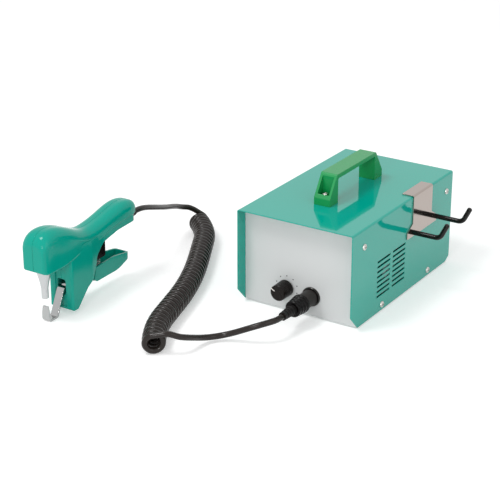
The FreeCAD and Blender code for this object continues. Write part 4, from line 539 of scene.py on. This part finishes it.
@dataclass
class PanScrews:
    """Cross-recessed pan-head screws, all from one node group.

    Attributes:
        crown: Power that flattens the dome of a head.
        recess_long: Length of the recess over the head's radius.
        recess_wide: Width of its arms over the head's radius.
        head_sides: Sides of a head.
        head_rings: Rings of the ball that a head is pressed from.
        shank_sides: Sides of a shank.
        tree: The node group.
    """

    crown: float = 0.62
    recess_long: float = 1.15
    recess_wide: float = 0.24
    head_sides: int = 24
    head_rings: int = 12
    shank_sides: int = 16
    tree: NodeTree = field(init=False)

    def __post_init__(self) -> None:
        """Build the node group."""
        sizes = ("Head Radius", "Head Height", "Shank Radius", "Shank Length")
        sockets = dict.fromkeys(sizes, Socket.FLOAT)
        sockets["Material"] = Socket.MATERIAL
        tree, given = Workshop.group("pan_screws", sockets)
        get = given.outputs
        ball = add(tree, "GeometryNodeMeshUVSphere", {
            "Segments": self.head_sides, "Rings": self.head_rings, "Radius": 1.0})
        spot = add(tree, "GeometryNodeInputPosition")
        parts = add(tree, "ShaderNodeSeparateXYZ", {0: spot})
        # A flat foot and a low crown: the lower half of the ball is pressed onto the seat.
        raised = add(tree, "ShaderNodeMath", {0: parts.outputs[2], 1: 0.0}, operation="MAXIMUM")
        flat = add(tree, "ShaderNodeMath", {0: raised, 1: self.crown}, operation="POWER")
        pressed = add(tree, "ShaderNodeCombineXYZ", {0: parts.outputs[0], 1: parts.outputs[1], 2: flat})
        dome = add(tree, "GeometryNodeSetPosition", {"Geometry": ball, "Position": pressed})
        head_size = add(tree, "ShaderNodeCombineXYZ", {
            0: get["Head Radius"], 1: get["Head Radius"], 2: get["Head Height"]})
        head = add(tree, "GeometryNodeTransform", {"Geometry": dome, "Scale": head_size})
        long = add(tree, "ShaderNodeMath", {0: get["Head Radius"], 1: self.recess_long}, operation="MULTIPLY")
        thin = add(tree, "ShaderNodeMath", {0: get["Head Radius"], 1: self.recess_wide}, operation="MULTIPLY")
        top = add(tree, "ShaderNodeCombineXYZ", {2: get["Head Height"]})
        bored = head
        for first, second in ((long, thin), (thin, long)):
            size = add(tree, "ShaderNodeCombineXYZ", {0: first, 1: second, 2: get["Head Height"]})
            bar = add(tree, "GeometryNodeMeshCube", {"Size": size})
            cut = add(tree, "GeometryNodeTransform", {"Geometry": bar, "Translation": top})
            bored = add(tree, "GeometryNodeMeshBoolean", {0: bored, 1: cut}, operation="DIFFERENCE")
        shank = add(tree, "GeometryNodeMeshCylinder", {
            "Vertices": self.shank_sides, "Radius": get["Shank Radius"], "Depth": get["Shank Length"]})
        half = add(tree, "ShaderNodeMath", {0: get["Shank Length"], 1: -0.5}, operation="MULTIPLY")
        below = add(tree, "ShaderNodeCombineXYZ", {2: half})
        shank = add(tree, "GeometryNodeTransform", {"Geometry": shank, "Translation": below})
        screw = add(tree, "GeometryNodeJoinGeometry", {0: bored})
        tree.links.new(shank.outputs[0], screw.inputs[0])
        aim = add(tree, "GeometryNodeInputNamedAttribute", {"Name": "aim"}, data_type="FLOAT_VECTOR")
        turn = add(tree, "FunctionNodeAlignRotationToVector", {"Vector": aim}, axis="Z")
        dots = add(tree, "GeometryNodeMeshToPoints", {"Mesh": get["Geometry"]})
        rows = add(tree, "GeometryNodeInstanceOnPoints", {
            "Points": dots, "Instance": screw, "Rotation": turn})
        Workshop.close(tree, rows, get["Material"])
        self.tree = tree

    def fit(
        self, node: str, size: ScrewSize, body: str, out: Vector | None = None, lift: float = 0.0,
    ) -> list[Vector]:
        """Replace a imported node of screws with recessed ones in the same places.

        Args:
            node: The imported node.
            size: Sizes of its screws.
            body: The body that the screws ride on.
            out: Direction in which the heads face, or None for away from the middle along X.
            lift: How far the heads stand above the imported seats, mm.

        Returns:
            The seats under the heads.
        """
        height = size.head_height * MM
        seats = []
        aims = []
        reach = 0.0
        for low, high in solid_boxes(node):
            middle = (low + high) / 2
            way = out or Vector((math.copysign(1.0, middle.x), 0, 0))
            half = abs((high - low).dot(way)) / 2
            seats.append(middle + way * (half - height + lift * MM))
            aims.append(way)
            reach = 2 * half - height + lift * MM
        start = bpy.data.meshes.new(node)
        start.from_pydata([tuple(seat) for seat in seats], [], [])
        heading = start.attributes.new("aim", "FLOAT_VECTOR", "POINT")
        heading.data.foreach_set("vector", [value for way in aims for value in way])
        mesh = Workshop.run(self.tree, start, {
            "Head Radius": size.head_radius * MM, "Head Height": height,
            "Shank Radius": size.shank_radius * MM, "Shank Length": reach, "Material": ZINC_PLATE.make(),
        })
        smooth_by_angle(mesh)
        piece = place(node + "_recessed", mesh, ZINC_PLATE, body)
        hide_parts(node)
        return seats


def curve_of(name: str, points: list[Vector], resolution: int, radius: float) -> Object:
    """Make one open NURBS curve through a route's control points.

    Args:
        name: Name of the curve.
        points: Control points in metres.
        resolution: Steps between neighbouring points.
        radius: Radius of the round bevel, or 0 for a bare line.

    Returns:
        The curve's object, not yet in the scene.
    """
    data = bpy.data.curves.new(name, "CURVE")
    data.dimensions = "3D"
    data.resolution_u = resolution
    data.bevel_depth = radius
    data.bevel_resolution = TUBE_STEPS
    data.use_fill_caps = True
    line = data.splines.new("NURBS")
    line.points.add(len(points) - 1)
    for spot, point in zip(line.points, points):
        spot.co = (point.x, point.y, point.z, 1.0)
    line.order_u = LINE_ORDER
    line.use_endpoint_u = True
    line.resolution_u = resolution
    return bpy.data.objects.new(name, data)


def tube_of(points: list[Vector], resolution: int, radius: float) -> Mesh:
    """Make a smooth round tube along a route.

    Args:
        points: The route's control points.
        resolution: Steps between neighbouring points.
        radius: Radius of the tube, or 0 for a bare line.

    Returns:
        The tube's mesh.
    """
    bent = curve_of("bent", points, resolution, radius)
    mesh = bpy.data.meshes.new_from_object(bent)
    mesh.shade_smooth()
    bpy.data.objects.remove(bent)
    return mesh


def line_of(points: list[Vector], resolution: int) -> list[Vector]:
    """Read the points of a route's smooth line.

    Args:
        points: The route's control points.
        resolution: Steps between neighbouring points.

    Returns:
        Points along the NURBS line.
    """
    mesh = tube_of(points, resolution, 0.0)
    spots = [vertex.co.copy() for vertex in mesh.vertices]
    bpy.data.meshes.remove(mesh)
    return spots


def winding_reach(radius: float, per_turn: int) -> float:
    """Find how far out the control points of a winding stand.

    A quadratic line stays inside its control points. In the middle of a span it takes 6/8 of one point
    and 1/8 of each neighbour, so the points stand a little further out.

    Args:
        radius: Radius of the line itself.
        per_turn: Control points in each turn.

    Returns:
        Distance of the control points from the axis.
    """
    return radius * 8 / (6 + 2 * math.cos(2 * math.pi / per_turn))


def length_of(points: list[Vector]) -> float:
    """Length of a line through points."""
    return sum((b - a).length for a, b in zip(points, points[1:]))


@dataclass
class CoiledCord:
    """The cord from the plug to the hand piece: a lead, a curly part on the floor and a free tail.

    Attributes:
        radius: Radius of the jacket, mm.
        curl_radius: Radius of the curls at the jacket's middle, mm.
        turns: Number of curls.
        per_turn: Control points in each curl.
        straight: Straight stretch at each end of the curls, mm.
        run: Distance of the route's point before each straight end, mm.
        axis_steps: Steps between points of the curls' axis.
        coil_steps: Steps between points of the lead and the curls.
        tail_steps: Steps between points of the tail.
        axis: Points of the curls' axis, seen from above, mm.
        lead_start: Where the lead leaves the plug, mm.
        lead: Points of the lead, mm.
        tail_start: Where the tail leaves the hand piece, mm.
        tail: Points of the tail, mm.
    """

    radius: float = 3.5
    curl_radius: float = 10.0
    turns: float = 41 + 335 / 360
    per_turn: int = 16
    straight: float = 7.0
    run: float = 10.0
    axis_steps: int = 48
    coil_steps: int = 3
    tail_steps: int = 10
    axis: tuple[tuple[float, float], ...] = (
        (-79.0, -283.0), (-91.0, -266.0), (-106.0, -236.0), (-116.0, -201.0), (-130.0, -152.0),
        (-152.0, -98.0), (-184.0, -37.0), (-211.0, 13.0), (-239.0, 36.0),
    )
    lead_start: tuple[float, float, float] = (15.0, -170.9, 25.5)
    lead: tuple[tuple[float, float, float], ...] = (
        (15.0, -179.6, 25.5), (12.2, -188.6, 25.6), (6.6, -196.6, 24.6), (-1.2, -202.4, 21.8),
        (-10.8, -206.2, 17.6), (-21.4, -208.6, 12.4), (-31.6, -211.6, 8.2), (-40.2, -217.6, 6.2),
        (-46.6, -226.0, 6.6), (-50.2, -236.2, 9.4), (-51.4, -247.4, 13.8), (-53.0, -258.6, 18.2),
        (-57.2, -268.0, 21.8),
    )
    tail_start: tuple[float, float, float] = (-231.0, -111.0, 77.5)
    tail: tuple[tuple[float, float, float], ...] = (
        (-231.0, -99.5, 77.5), (-231.8, -85.0, 74.0), (-234.4, -66.5, 67.4), (-239.0, -46.5, 59.8),
        (-244.4, -26.5, 52.2), (-249.4, -7.0, 45.6), (-252.6, 8.4, 40.0), (-252.2, 20.2, 35.2),
    )

    def curls(self) -> list[Vector]:
        """Wind the curls round their own smooth axis.

        Returns:
            Control points of the curls.
        """
        height = (self.curl_radius + self.radius) * MM
        middle = line_of([Vector((x * MM, y * MM, height)) for x, y in self.axis], self.axis_steps)
        reached = [0.0]
        for a, b in zip(middle, middle[1:]):
            reached.append(reached[-1] + (b - a).length)
        reach = winding_reach(self.curl_radius * MM, self.per_turn)
        count = round(self.turns * self.per_turn)
        spots = []
        at = 0
        for index in range(count + 1):
            share = index / count
            wanted = share * reached[-1]
            while at < len(reached) - 2 and reached[at + 1] < wanted:
                at += 1
            part = (wanted - reached[at]) / (reached[at + 1] - reached[at])
            centre = middle[at].lerp(middle[at + 1], part)
            way = (middle[at + 1] - middle[at]).normalized()
            left = Vector((-way.y, way.x, 0))
            angle = 2 * math.pi * self.turns * share
            up = Vector((0, 0, reach)) * math.cos(angle)
            spots.append(centre + up + left * (reach * math.sin(angle)))
        return spots

    def route(self) -> tuple[list[Vector], list[Vector]]:
        """Join the stretches of the cord.

        Returns:
            Control points of the plug's lead with the curls, and of the tail.
        """
        curls = self.curls()
        near_way = (curls[0] - curls[1]).normalized()
        far_way = (curls[-1] - curls[-2]).normalized()
        near = curls[0] + near_way * (self.straight * MM)
        far = curls[-1] + far_way * (self.straight * MM)
        lead = [Vector(point) * MM for point in (self.lead_start, *self.lead)]
        lead += [near + near_way * (self.run * MM), near]
        tail = [Vector(point) * MM for point in (self.tail_start, *self.tail)]
        tail += [far + far_way * (self.run * MM), far]
        return lead + curls + [far], tail

    def build(self) -> None:
        first, second = self.route()
        coil = curve_of("coiled_lead", first, self.coil_steps, self.radius * MM)
        coil.data.materials.append(JACKET.make())
        show(coil)
        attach(coil, "generator")
        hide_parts("cord_lead", "coil_cord")
        length_of(line_of(first, self.coil_steps))
        LOG.info("piece coiled_lead: %d points", len(first))
        mesh = tube_of(second, self.tail_steps, self.radius * MM)
        path = line_of(second, self.tail_steps)
        paint(mesh, JACKET)
        tail = bpy.data.objects.new("cord_tail_tube", mesh)
        show(tail)
        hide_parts("cord_tail")
        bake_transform(tail)
        LOG.info("piece cord_tail_tube: %d faces", len(mesh.polygons))


@dataclass
class PowerUnit:
    """The sheet-metal case with its handle, hooks, dial, plug and rear fittings.

    Attributes:
        dot_count: Marks round the dial.
        dot_ring: Radius of the ring of marks, mm.
        dot_first: Angle of the first mark, degrees.
        dot_step: Angle between marks, degrees.
        dot_radius: Radius of one mark, mm.
        dot_sides: Sides of one mark.
        ring_steps: Steps of the arc that carries the marks.
        ink_film: Thickness of the printed marks, mm.
        pointer_angle: Where the knob's pointer stands, degrees.
        pointer_width: Width of the pointer, mm.
        pointer_outer: Where the pointer ends, as a share of the knob's radius.
        pointer_inner: Where the pointer starts, as a share of where it ends.
        paint_face: Depth of the paint's face in the knob, mm.
        paint_floor: Depth of the groove's floor in the knob, mm.
        paint_edge: Chamfer of the paint's edges, mm.
        boss_radius: Radius of the moulded boss under each handle screw, mm.
        boss_height: Height of that boss over the pocket's floor, mm.
        boss_taper: Radius of a boss's top over that of its foot.
        boss_sides: Sides of a boss.
        pin_width: Width of a plated blade in the mains inlet, mm.
        pin_height: Height of a blade, mm.
        pin_pitch: Sideways distance between blades, mm.
        pin_start: Depth of the inlet's well, mm.
        pin_reach: How far the blades' tips lie below the inlet's face, mm.
        pin_edge: Rounding of a blade's edges, mm.
        pin_rises: Height of each blade above the inlet's middle, mm.
        cover_screw: Sizes of the cover's screws.
        handle_screw: Sizes of the handle's screws.
        inlet_screw: Sizes of the inlet's screws.
    """

    dot_count: int = 9
    dot_ring: float = 14.2
    dot_first: float = -54.0
    dot_step: float = 36.0
    dot_radius: float = 0.75
    dot_sides: int = 20
    ring_steps: int = 64
    ink_film: float = 0.05
    pointer_angle: float = 153.0
    pointer_width: float = 1.3
    pointer_outer: float = 0.93
    pointer_inner: float = 0.43
    paint_face: float = 0.05
    paint_floor: float = 0.45
    paint_edge: float = 0.08
    boss_radius: float = 4.6
    boss_height: float = 6.2
    boss_taper: float = 0.94
    boss_sides: int = 32
    pin_width: float = 2.1
    pin_height: float = 4.1
    pin_pitch: float = 7.0
    pin_start: float = 16.0
    pin_reach: float = 3.95
    pin_edge: float = 0.3
    pin_rises: tuple[float, float, float] = (-1.0, 2.4, -1.0)
    cover_screw: ScrewSize = ScrewSize(3.8, 2.2, 2.0)
    handle_screw: ScrewSize = ScrewSize(3.6, 2.4, 2.0)
    inlet_screw: ScrewSize = ScrewSize(2.7, 1.6, 1.5)

    def dress_case(self) -> None:
        """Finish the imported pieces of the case."""
        dress(ENAMEL, "cover", "chassis")
        dress(PANEL_GREY, "front_panel")
        dress(RUBBER, "rubber_feet", "plug_boot")
        dress(HANDLE_GREEN, "carry_handle")
        dress(MIRROR_STEEL, "hook_bracket")
        dress(DIPPED_PVC, "hook_rod_front", "hook_rod_rear")
        dress(ZINC_PLATE, "handle_nuts", "hook_nuts", "timer_nut", "socket_nut", "timer_shaft")
        dress(PHENOLIC, "timer_knob")
        dress(NYLON_GREY, "plug_sleeve", "timer_potentiometer")
        dress(NYLON_BLACK, "plug_shell", "power_switch_frame", "power_rocker", "fuse_holder", "mains_inlet")
        dress(BLACK_CHROME, "output_socket")

    def dial_marks(self) -> None:
        """Print the ring of dots round the dial."""
        tree, given = Workshop.group("dial_marks", {
            "Ring Radius": Socket.FLOAT, "First Angle": Socket.FLOAT, "Sweep": Socket.FLOAT,
            "Dot Radius": Socket.FLOAT, "Film": Socket.FLOAT, "Count": Socket.COUNT,
            "Centre": Socket.VECTOR, "Material": Socket.MATERIAL,
        })
        get = given.outputs
        arc = add(tree, "GeometryNodeCurveArc", {
            "Resolution": self.ring_steps, "Radius": get["Ring Radius"], "Start Angle": get["First Angle"],
            "Sweep Angle": get["Sweep"]})
        spots = add(tree, "GeometryNodeCurveToPoints", {"Curve": arc, "Count": get["Count"]})
        dot = add(tree, "GeometryNodeMeshCylinder", {
            "Vertices": self.dot_sides, "Radius": get["Dot Radius"], "Depth": get["Film"]})
        ring = add(tree, "GeometryNodeInstanceOnPoints", {"Points": spots, "Instance": dot})
        upright = add(tree, "GeometryNodeTransform", {
            "Geometry": ring, "Translation": get["Centre"], "Rotation": (math.radians(90), 0, 0)})
        Workshop.close(tree, upright, get["Material"])
        low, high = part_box("timer_shaft")
        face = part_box("front_panel")[0].y
        centre = Vector(((low.x + high.x) / 2, face - self.ink_film * MM / 2, (low.z + high.z) / 2))
        mesh = Workshop.run(tree, bpy.data.meshes.new("dial_marks"), {
            "Ring Radius": self.dot_ring * MM, "First Angle": math.radians(self.dot_first),
            "Sweep": math.radians(self.dot_step * (self.dot_count - 1)), "Dot Radius": self.dot_radius * MM,
            "Film": self.ink_film * MM, "Count": self.dot_count, "Centre": tuple(centre),
            "Material": DARK_INK.make(),
        })
        place("dial_marks", mesh, DARK_INK, "generator")

    def knob_pointer(self) -> None:
        """Fill the knob's pointer groove with paint."""
        low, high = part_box("timer_knob")
        middle = (low + high) / 2
        outer = (high.x - low.x) / 2 * self.pointer_outer
        inner = outer * self.pointer_inner
        front = low.y + self.paint_face * MM
        back = low.y + self.paint_floor * MM
        size = Vector((outer - inner, back - front, self.pointer_width * MM))
        spot = Vector(((inner + outer) / 2, (front + back) / 2, 0))
        work = bmesh.new()
        bmesh.ops.create_cube(work, size=1.0, matrix=Matrix.LocRotScale(spot, None, size))
        bmesh.ops.bevel(work, geom=work.edges[:], offset=self.paint_edge * MM, segments=1, affect="EDGES")
        turn = Matrix.Rotation(-math.radians(self.pointer_angle), 4, "Y")
        work.transform(Matrix.Translation((middle.x, 0, middle.z)) @ turn)
        place("knob_pointer", mesh_of("knob_pointer", work), WHITE_PAINT, "timer_knob")

    def screw_bosses(self, seats: list[Vector]) -> None:
        """Mould the boss that lifts each handle screw above the pocket's lip.

        Args:
            seats: The seats under the screws' heads.
        """
        work = bmesh.new()
        foot = self.boss_radius * MM
        height = self.boss_height * MM
        for seat in seats:
            middle = Matrix.Translation((seat.x, seat.y, seat.z - height / 2))
            bmesh.ops.create_cone(work, cap_ends=True, segments=self.boss_sides, radius1=foot,
                                  radius2=foot * self.boss_taper, depth=height, matrix=middle)
        mesh = mesh_of("screw_bosses", work)
        smooth_by_angle(mesh)
        place("screw_bosses", mesh, HANDLE_GREEN, "generator")

    def inlet_blades(self) -> None:
        """Plate the three blades of the mains inlet."""
        low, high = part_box("mains_inlet")
        middle = (low + high) / 2
        bottom = high.y - self.pin_start * MM
        tip = high.y - self.pin_reach * MM
        work = bmesh.new()
        for step, rise in zip((-1, 0, 1), self.pin_rises):
            size = Vector((self.pin_width * MM, tip - bottom, self.pin_height * MM))
            spot = Vector((middle.x + step * self.pin_pitch * MM, (tip + bottom) / 2, middle.z + rise * MM))
            bmesh.ops.create_cube(work, size=1.0, matrix=Matrix.LocRotScale(spot, None, size))
        bmesh.ops.bevel(work, geom=work.edges[:], offset=self.pin_edge * MM, segments=2, affect="EDGES")
        place("inlet_blades", mesh_of("inlet_blades", work), NICKEL, "generator")

    def build(self, screws: PanScrews) -> None:
        """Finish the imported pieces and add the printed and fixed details.

        Args:
            screws: The maker of the screws.
        """
        self.dress_case()
        self.dial_marks()
        self.knob_pointer()
        screws.fit("cover_screws", self.cover_screw, "generator")
        up = Vector((0, 0, 1))
        seats = screws.fit("handle_screws", self.handle_screw, "generator", up, self.boss_height)
        self.screw_bosses(seats)
        self.inlet_blades()
        screws.fit("inlet_screws", self.inlet_screw, "generator", Vector((0, 1, 0)))


@dataclass
class Electronics:
    """What the case holds.

    Attributes:
        wire: Diameter of the transformer's wire, mm.
        wire_sides: Sides of the wire.
        corner: Radius of the winding's corners, mm.
        corner_steps: Steps in each corner.
    """

    wire: float = 1.1
    wire_sides: int = 8
    corner: float = 5.0
    corner_steps: int = 5

    def winding(self) -> None:
        """Stack closed turns of wire round the transformer's bobbin."""
        tree, given = Workshop.group("wire_turns", {
            "Width": Socket.FLOAT, "Depth": Socket.FLOAT, "Corner": Socket.FLOAT,
            "Wire Radius": Socket.FLOAT, "Count": Socket.COUNT, "Pitch": Socket.VECTOR,
            "Start": Socket.VECTOR, "Material": Socket.MATERIAL,
        })
        get = given.outputs
        loop = add(tree, "GeometryNodeCurvePrimitiveQuadrilateral", {
            "Width": get["Width"], "Height": get["Depth"]})
        loop = add(tree, "GeometryNodeFilletCurve", {
            "Curve": loop, "Radius": get["Corner"], "Count": self.corner_steps}, mode="POLY")
        round_wire = add(tree, "GeometryNodeCurvePrimitiveCircle", {
            "Resolution": self.wire_sides, "Radius": get["Wire Radius"]})
        turn = add(tree, "GeometryNodeCurveToMesh", {"Curve": loop, "Profile Curve": round_wire})
        stack = add(tree, "GeometryNodeMeshLine", {
            "Count": get["Count"], "Start Location": get["Start"], "Offset": get["Pitch"]})
        rows = add(tree, "GeometryNodeInstanceOnPoints", {"Points": stack, "Instance": turn})
        Workshop.close(tree, rows, get["Material"])
        low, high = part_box("transformer_winding")
        middle = (low + high) / 2
        thick = self.wire * MM
        count = int((high.z - low.z) / thick)
        mesh = Workshop.run(tree, bpy.data.meshes.new("wire_turns"), {
            "Width": high.x - low.x - thick, "Depth": high.y - low.y - thick, "Corner": self.corner * MM,
            "Wire Radius": thick / 2, "Count": count, "Pitch": (0, 0, thick),
            "Start": (middle.x, middle.y, low.z + thick / 2), "Material": COPPER.make(),
        })
        mesh.shade_smooth()
        piece = place("wire_turns", mesh, COPPER, "generator")
        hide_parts("transformer_winding")

    def build(self) -> None:
        """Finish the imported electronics."""
        dress(LAMINATION, "transformer_core", "output_coil")
        dress(CIRCUIT_BOARD, "driver_board")
        dress(TURNED_ALUMINIUM, "heat_sink", "board_spacers")
        dress(SLEEVED_CAN, "capacitors")
        self.winding()


@dataclass
class HandPiece:
    """The squeeze hand piece with its horn, anvil and trigger.

    Attributes:
        spring_radius: Radius of the return spring at the wire's middle, mm.
        spring_wire: Radius of its wire, mm.
        spring_turns: Number of open turns.
        spring_closed: Number of closed turns at each end.
        spring_rise: Rise of the closed turns over the wire's radius.
        spring_points: Control points in each turn.
        spring_steps: Steps between those points.
        spring_kept: Share of its length left when the trigger is squeezed. Not used.
        seam_width: Width of the line between the shell halves, mm.
        seam_depth: Depth of that line, mm.
        seam_near: Distance from the mating plane within which a corner lies on it, mm.
        seam_cut: Distance within which a corner lies on the cut beside the line, mm.
        seam_lean: Share of a face's normal along X from which it is a mating face, not a wall.
        seam_degrees: Angle below which the shells' edges are shaded smooth.
        shell_screw: Sizes of the shells' screws.
    """

    spring_radius: float = 4.0
    spring_wire: float = 0.5
    spring_turns: int = 6
    spring_closed: float = 1.0
    spring_rise: float = 2.2
    spring_points: int = 16
    spring_steps: int = 2
    spring_kept: float = 0.55
    seam_width: float = 0.9
    seam_depth: float = 0.45
    seam_near: float = 0.01
    seam_cut: float = 0.001
    seam_lean: float = 0.8
    seam_degrees: float = 28.0
    shell_screw: ScrewSize = ScrewSize(3.0, 2.0, 1.6)

    @staticmethod
    def mating_plane() -> float:
        """Find the plane on which the shell halves meet.

        Returns:
            Its place along X, m.
        """
        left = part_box("shell_left")
        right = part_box("shell_right")
        return left[1].x if left[0].x < right[0].x else left[0].x

    def parted_shells(self) -> None:
        """Ease the mating edges of the two shell halves, which leaves a thin line between them."""
        middle = self.mating_plane()
        for node in ("shell_left", "shell_right"):
            low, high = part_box(node)
            side = math.copysign(1.0, (low.x + high.x) / 2 - middle)
            work = merged(node)
            bmesh.ops.bisect_plane(
                work, geom=work.verts[:] + work.edges[:] + work.faces[:], dist=self.seam_cut * MM,
                plane_co=(middle + side * self.seam_width * MM / 2, 0, 0), plane_no=(1, 0, 0))
            work.normal_update()
            moves = []
            for vertex in work.verts:
                if abs(vertex.co.x - middle) > self.seam_near * MM:
                    continue
                walls = [face for face in vertex.link_faces if abs(face.normal.x) < self.seam_lean]
                out = sum((face.normal * face.calc_area() for face in walls), Vector())
                out.x = 0
                if out.length > 0:
                    moves.append((vertex, out.normalized() * (self.seam_depth * MM)))
            for vertex, move in moves:
                vertex.co -= move
            mesh = mesh_of(node, work)
            smooth_by_angle(mesh, self.seam_degrees)
            piece = place(node + "_parted", mesh, ABS_TEAL, "hand_piece")
            even = piece.modifiers.new("even_normals", "WEIGHTED_NORMAL")
            even.keep_sharp = True
            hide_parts(node)

    def spring(self) -> None:
        """Wind the return spring with a closed turn at each end."""
        low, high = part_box("return_spring")
        middle = (low + high) / 2
        bottom = low.z + self.spring_wire * MM
        top = high.z - self.spring_wire * MM
        closed = self.spring_closed
        total = self.spring_turns + 2 * closed
        reach = winding_reach(self.spring_radius * MM, self.spring_points)
        lift = self.spring_rise * self.spring_wire * MM
        spots = []
        for index in range(round(total * self.spring_points) + 1):
            turn = index / self.spring_points
            if turn < closed:
                z = bottom + lift * turn / closed
            elif turn > total - closed:
                z = top - lift * (total - turn) / closed
            else:
                share = (turn - closed) / self.spring_turns
                z = bottom + lift + (top - bottom - 2 * lift) * share
            angle = 2 * math.pi * turn
            spots.append(Vector((middle.x + reach * math.cos(angle), middle.y + reach * math.sin(angle), z)))
        mesh = tube_of(spots, self.spring_steps, self.spring_wire * MM)
        piece = place("return_spring_wire", mesh, SPRING_WIRE, "hand_piece")
        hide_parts("return_spring")
        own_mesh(piece)

    def build(self, screws: PanScrews) -> None:
        """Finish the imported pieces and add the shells' seam, the screws and the spring.

        Args:
            screws: The maker of the screws.
        """
        self.parted_shells()
        dress(ABS_TEAL, "trigger")
        dress(TURNED_ALUMINIUM, "horn", "transducer_front", "transducer_back")
        dress(CERAMIC, "piezo_discs")
        dress(GROUND_STEEL, "anvil_lever")
        dress(ZINC_PLATE, "anvil_pin", "trigger_pin", "transducer_bolt")
        dress(NYLON_BLACK, "trigger_switch", "switch_plunger")
        dress(RUBBER, "strain_relief")
        screws.fit("shell_screws", self.shell_screw, "hand_piece", Vector((-1, 0, 0)))
        self.spring()


@dataclass(frozen=True)
class Lamp:
    """One square soft lamp.

    Attributes:
        name: Name of the lamp.
        spot: Where it stands, m.
        target: Where it points, m.
        size: Length of its side, m.
        power: Its power, W.
    """

    name: str
    spot: tuple[float, float, float]
    target: tuple[float, float, float]
    size: float
    power: float


@dataclass
class Studio:
    """Pale floor, soft light and the photograph's camera.

    Attributes:
        focal: Focal length over the frame's width.
        camera: Place of the camera, m.
        yaw: Turn of the camera from +Y towards -X, degrees.
        pitch: How far it looks down, degrees.
        sensor: Width of the camera's sensor, mm.
        clip_near: Nearest distance that the camera sees, m.
        clip_far: Farthest distance that the camera sees, m.
        sky: Strength of the white surround as light.
        floor_half: Half the floor's width, m.
        floor_tone: How much of the light the floor gives back.
        floor_glow: What is added to the floor where it is seen.
        lamps: One high in front, one to the right and one behind the camera.
    """

    focal: float = 1555.7 / 500
    camera: tuple[float, float, float] = (0.8197, -1.4944, 0.7655)
    yaw: float = 32.62
    pitch: float = 23.09
    sensor: float = 36.0
    clip_near: float = 0.05
    clip_far: float = 50.0
    sky: float = 0.66
    floor_half: float = 8.0
    floor_tone: float = 0.86
    floor_glow: float = 0.34
    lamps: tuple[Lamp, ...] = (
        Lamp("key", (-0.6, -1.0, 1.9), (-0.1, -0.1, 0.05), 0.6, 15.0),
        Lamp("fill", (1.9, -0.7, 1.1), (0.0, 0.0, 0.05), 1.2, 4.5),
        Lamp("front", (0.5, -2.6, 0.9), (0.0, -0.1, 0.05), 0.45, 11.0),
    )

    @staticmethod
    def seen(tree: NodeTree) -> Node:
        """Tell a ray that shows a surface, straight or reflected, from one that only carries its light.

        Args:
            tree: Node tree of a world or a material.

        Returns:
            The node that gives 1 for the first and 0 for the other.
        """
        ray = add(tree, "ShaderNodeLightPath").outputs
        open_view = add(tree, "ShaderNodeMath", {
            0: ray["Is Camera Ray"], 1: ray["Is Glossy Ray"]}, operation="MAXIMUM")
        return add(tree, "ShaderNodeMath", {
            0: open_view, 1: ray["Is Transmission Ray"]}, operation="MAXIMUM")

    def set_camera(self) -> None:
        """Stand the camera where the photograph was taken."""
        data = bpy.data.cameras.new("camera")
        data.sensor_width = self.sensor
        data.lens = data.sensor_width * self.focal
        data.clip_start = self.clip_near
        data.clip_end = self.clip_far
        eye = bpy.data.objects.new("camera", data)
        eye.location = self.camera
        eye.rotation_euler = (math.radians(90 - self.pitch), 0, math.radians(self.yaw))
        show(eye)
        bpy.context.scene.camera = eye

    def set_world(self) -> None:
        """White surround: plain white to look at, softer as light."""
        world = bpy.data.worlds.new("white_surround")
        tree = bare_tree(world)
        strength = add(tree, "ShaderNodeMapRange", {
            "Value": self.seen(tree), "To Min": self.sky, "To Max": 1.0})
        glow = add(tree, "ShaderNodeBackground", {"Color": WHITE, "Strength": strength})
        add(tree, "ShaderNodeOutputWorld", {"Surface": glow})
        bpy.context.scene.world = world

    def set_floor(self) -> None:
        """Pale floor that keeps the object's shadow and runs into the white surround."""
        half = self.floor_half
        mesh = bpy.data.meshes.new("floor")
        corners = [(-half, -half, 0), (half, -half, 0), (half, half, 0), (-half, half, 0)]
        mesh.from_pydata(corners, [], [(0, 1, 2, 3)])
        material = bpy.data.materials.new("white_floor_paper")
        tree = bare_tree(material)
        matt = add(tree, "ShaderNodeBsdfDiffuse", {"Color": (*[self.floor_tone] * 3, 1)})
        lift = add(tree, "ShaderNodeMath", {0: self.seen(tree), 1: self.floor_glow}, operation="MULTIPLY")
        glow = add(tree, "ShaderNodeEmission", {"Color": WHITE, "Strength": lift})
        both = add(tree, "ShaderNodeAddShader", {0: matt, 1: glow})
        add(tree, "ShaderNodeOutputMaterial", {"Surface": both})
        mesh.materials.append(material)
        floor = bpy.data.objects.new("floor", mesh)
        show(floor)

    def set_lamps(self) -> None:
        """Hang the lamps and point them."""
        for lamp in self.lamps:
            data = bpy.data.lights.new(lamp.name, "AREA")
            data.size = lamp.size
            data.energy = lamp.power
            hung = bpy.data.objects.new(lamp.name, data)
            hung.location = lamp.spot
            aim = Vector(lamp.target) - Vector(lamp.spot)
            hung.rotation_euler = aim.to_track_quat("-Z", "Y").to_euler()
            show(hung)

    def build(self) -> None:
        """Set up the whole studio."""
        self.set_camera()
        self.set_world()
        self.set_floor()
        self.set_lamps()
        bpy.context.scene.view_settings.view_transform = "Standard"


def main() -> None:
    """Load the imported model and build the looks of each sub-assembly."""
    logging.basicConfig(level=logging.INFO, format="%(name)s: %(message)s")
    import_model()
    Studio().build()
    CoiledCord().build()
    screws = PanScrews()
    PowerUnit().build(screws)
    Electronics().build()
    HandPiece().build(screws)


if __name__ == "__main__":
    main()
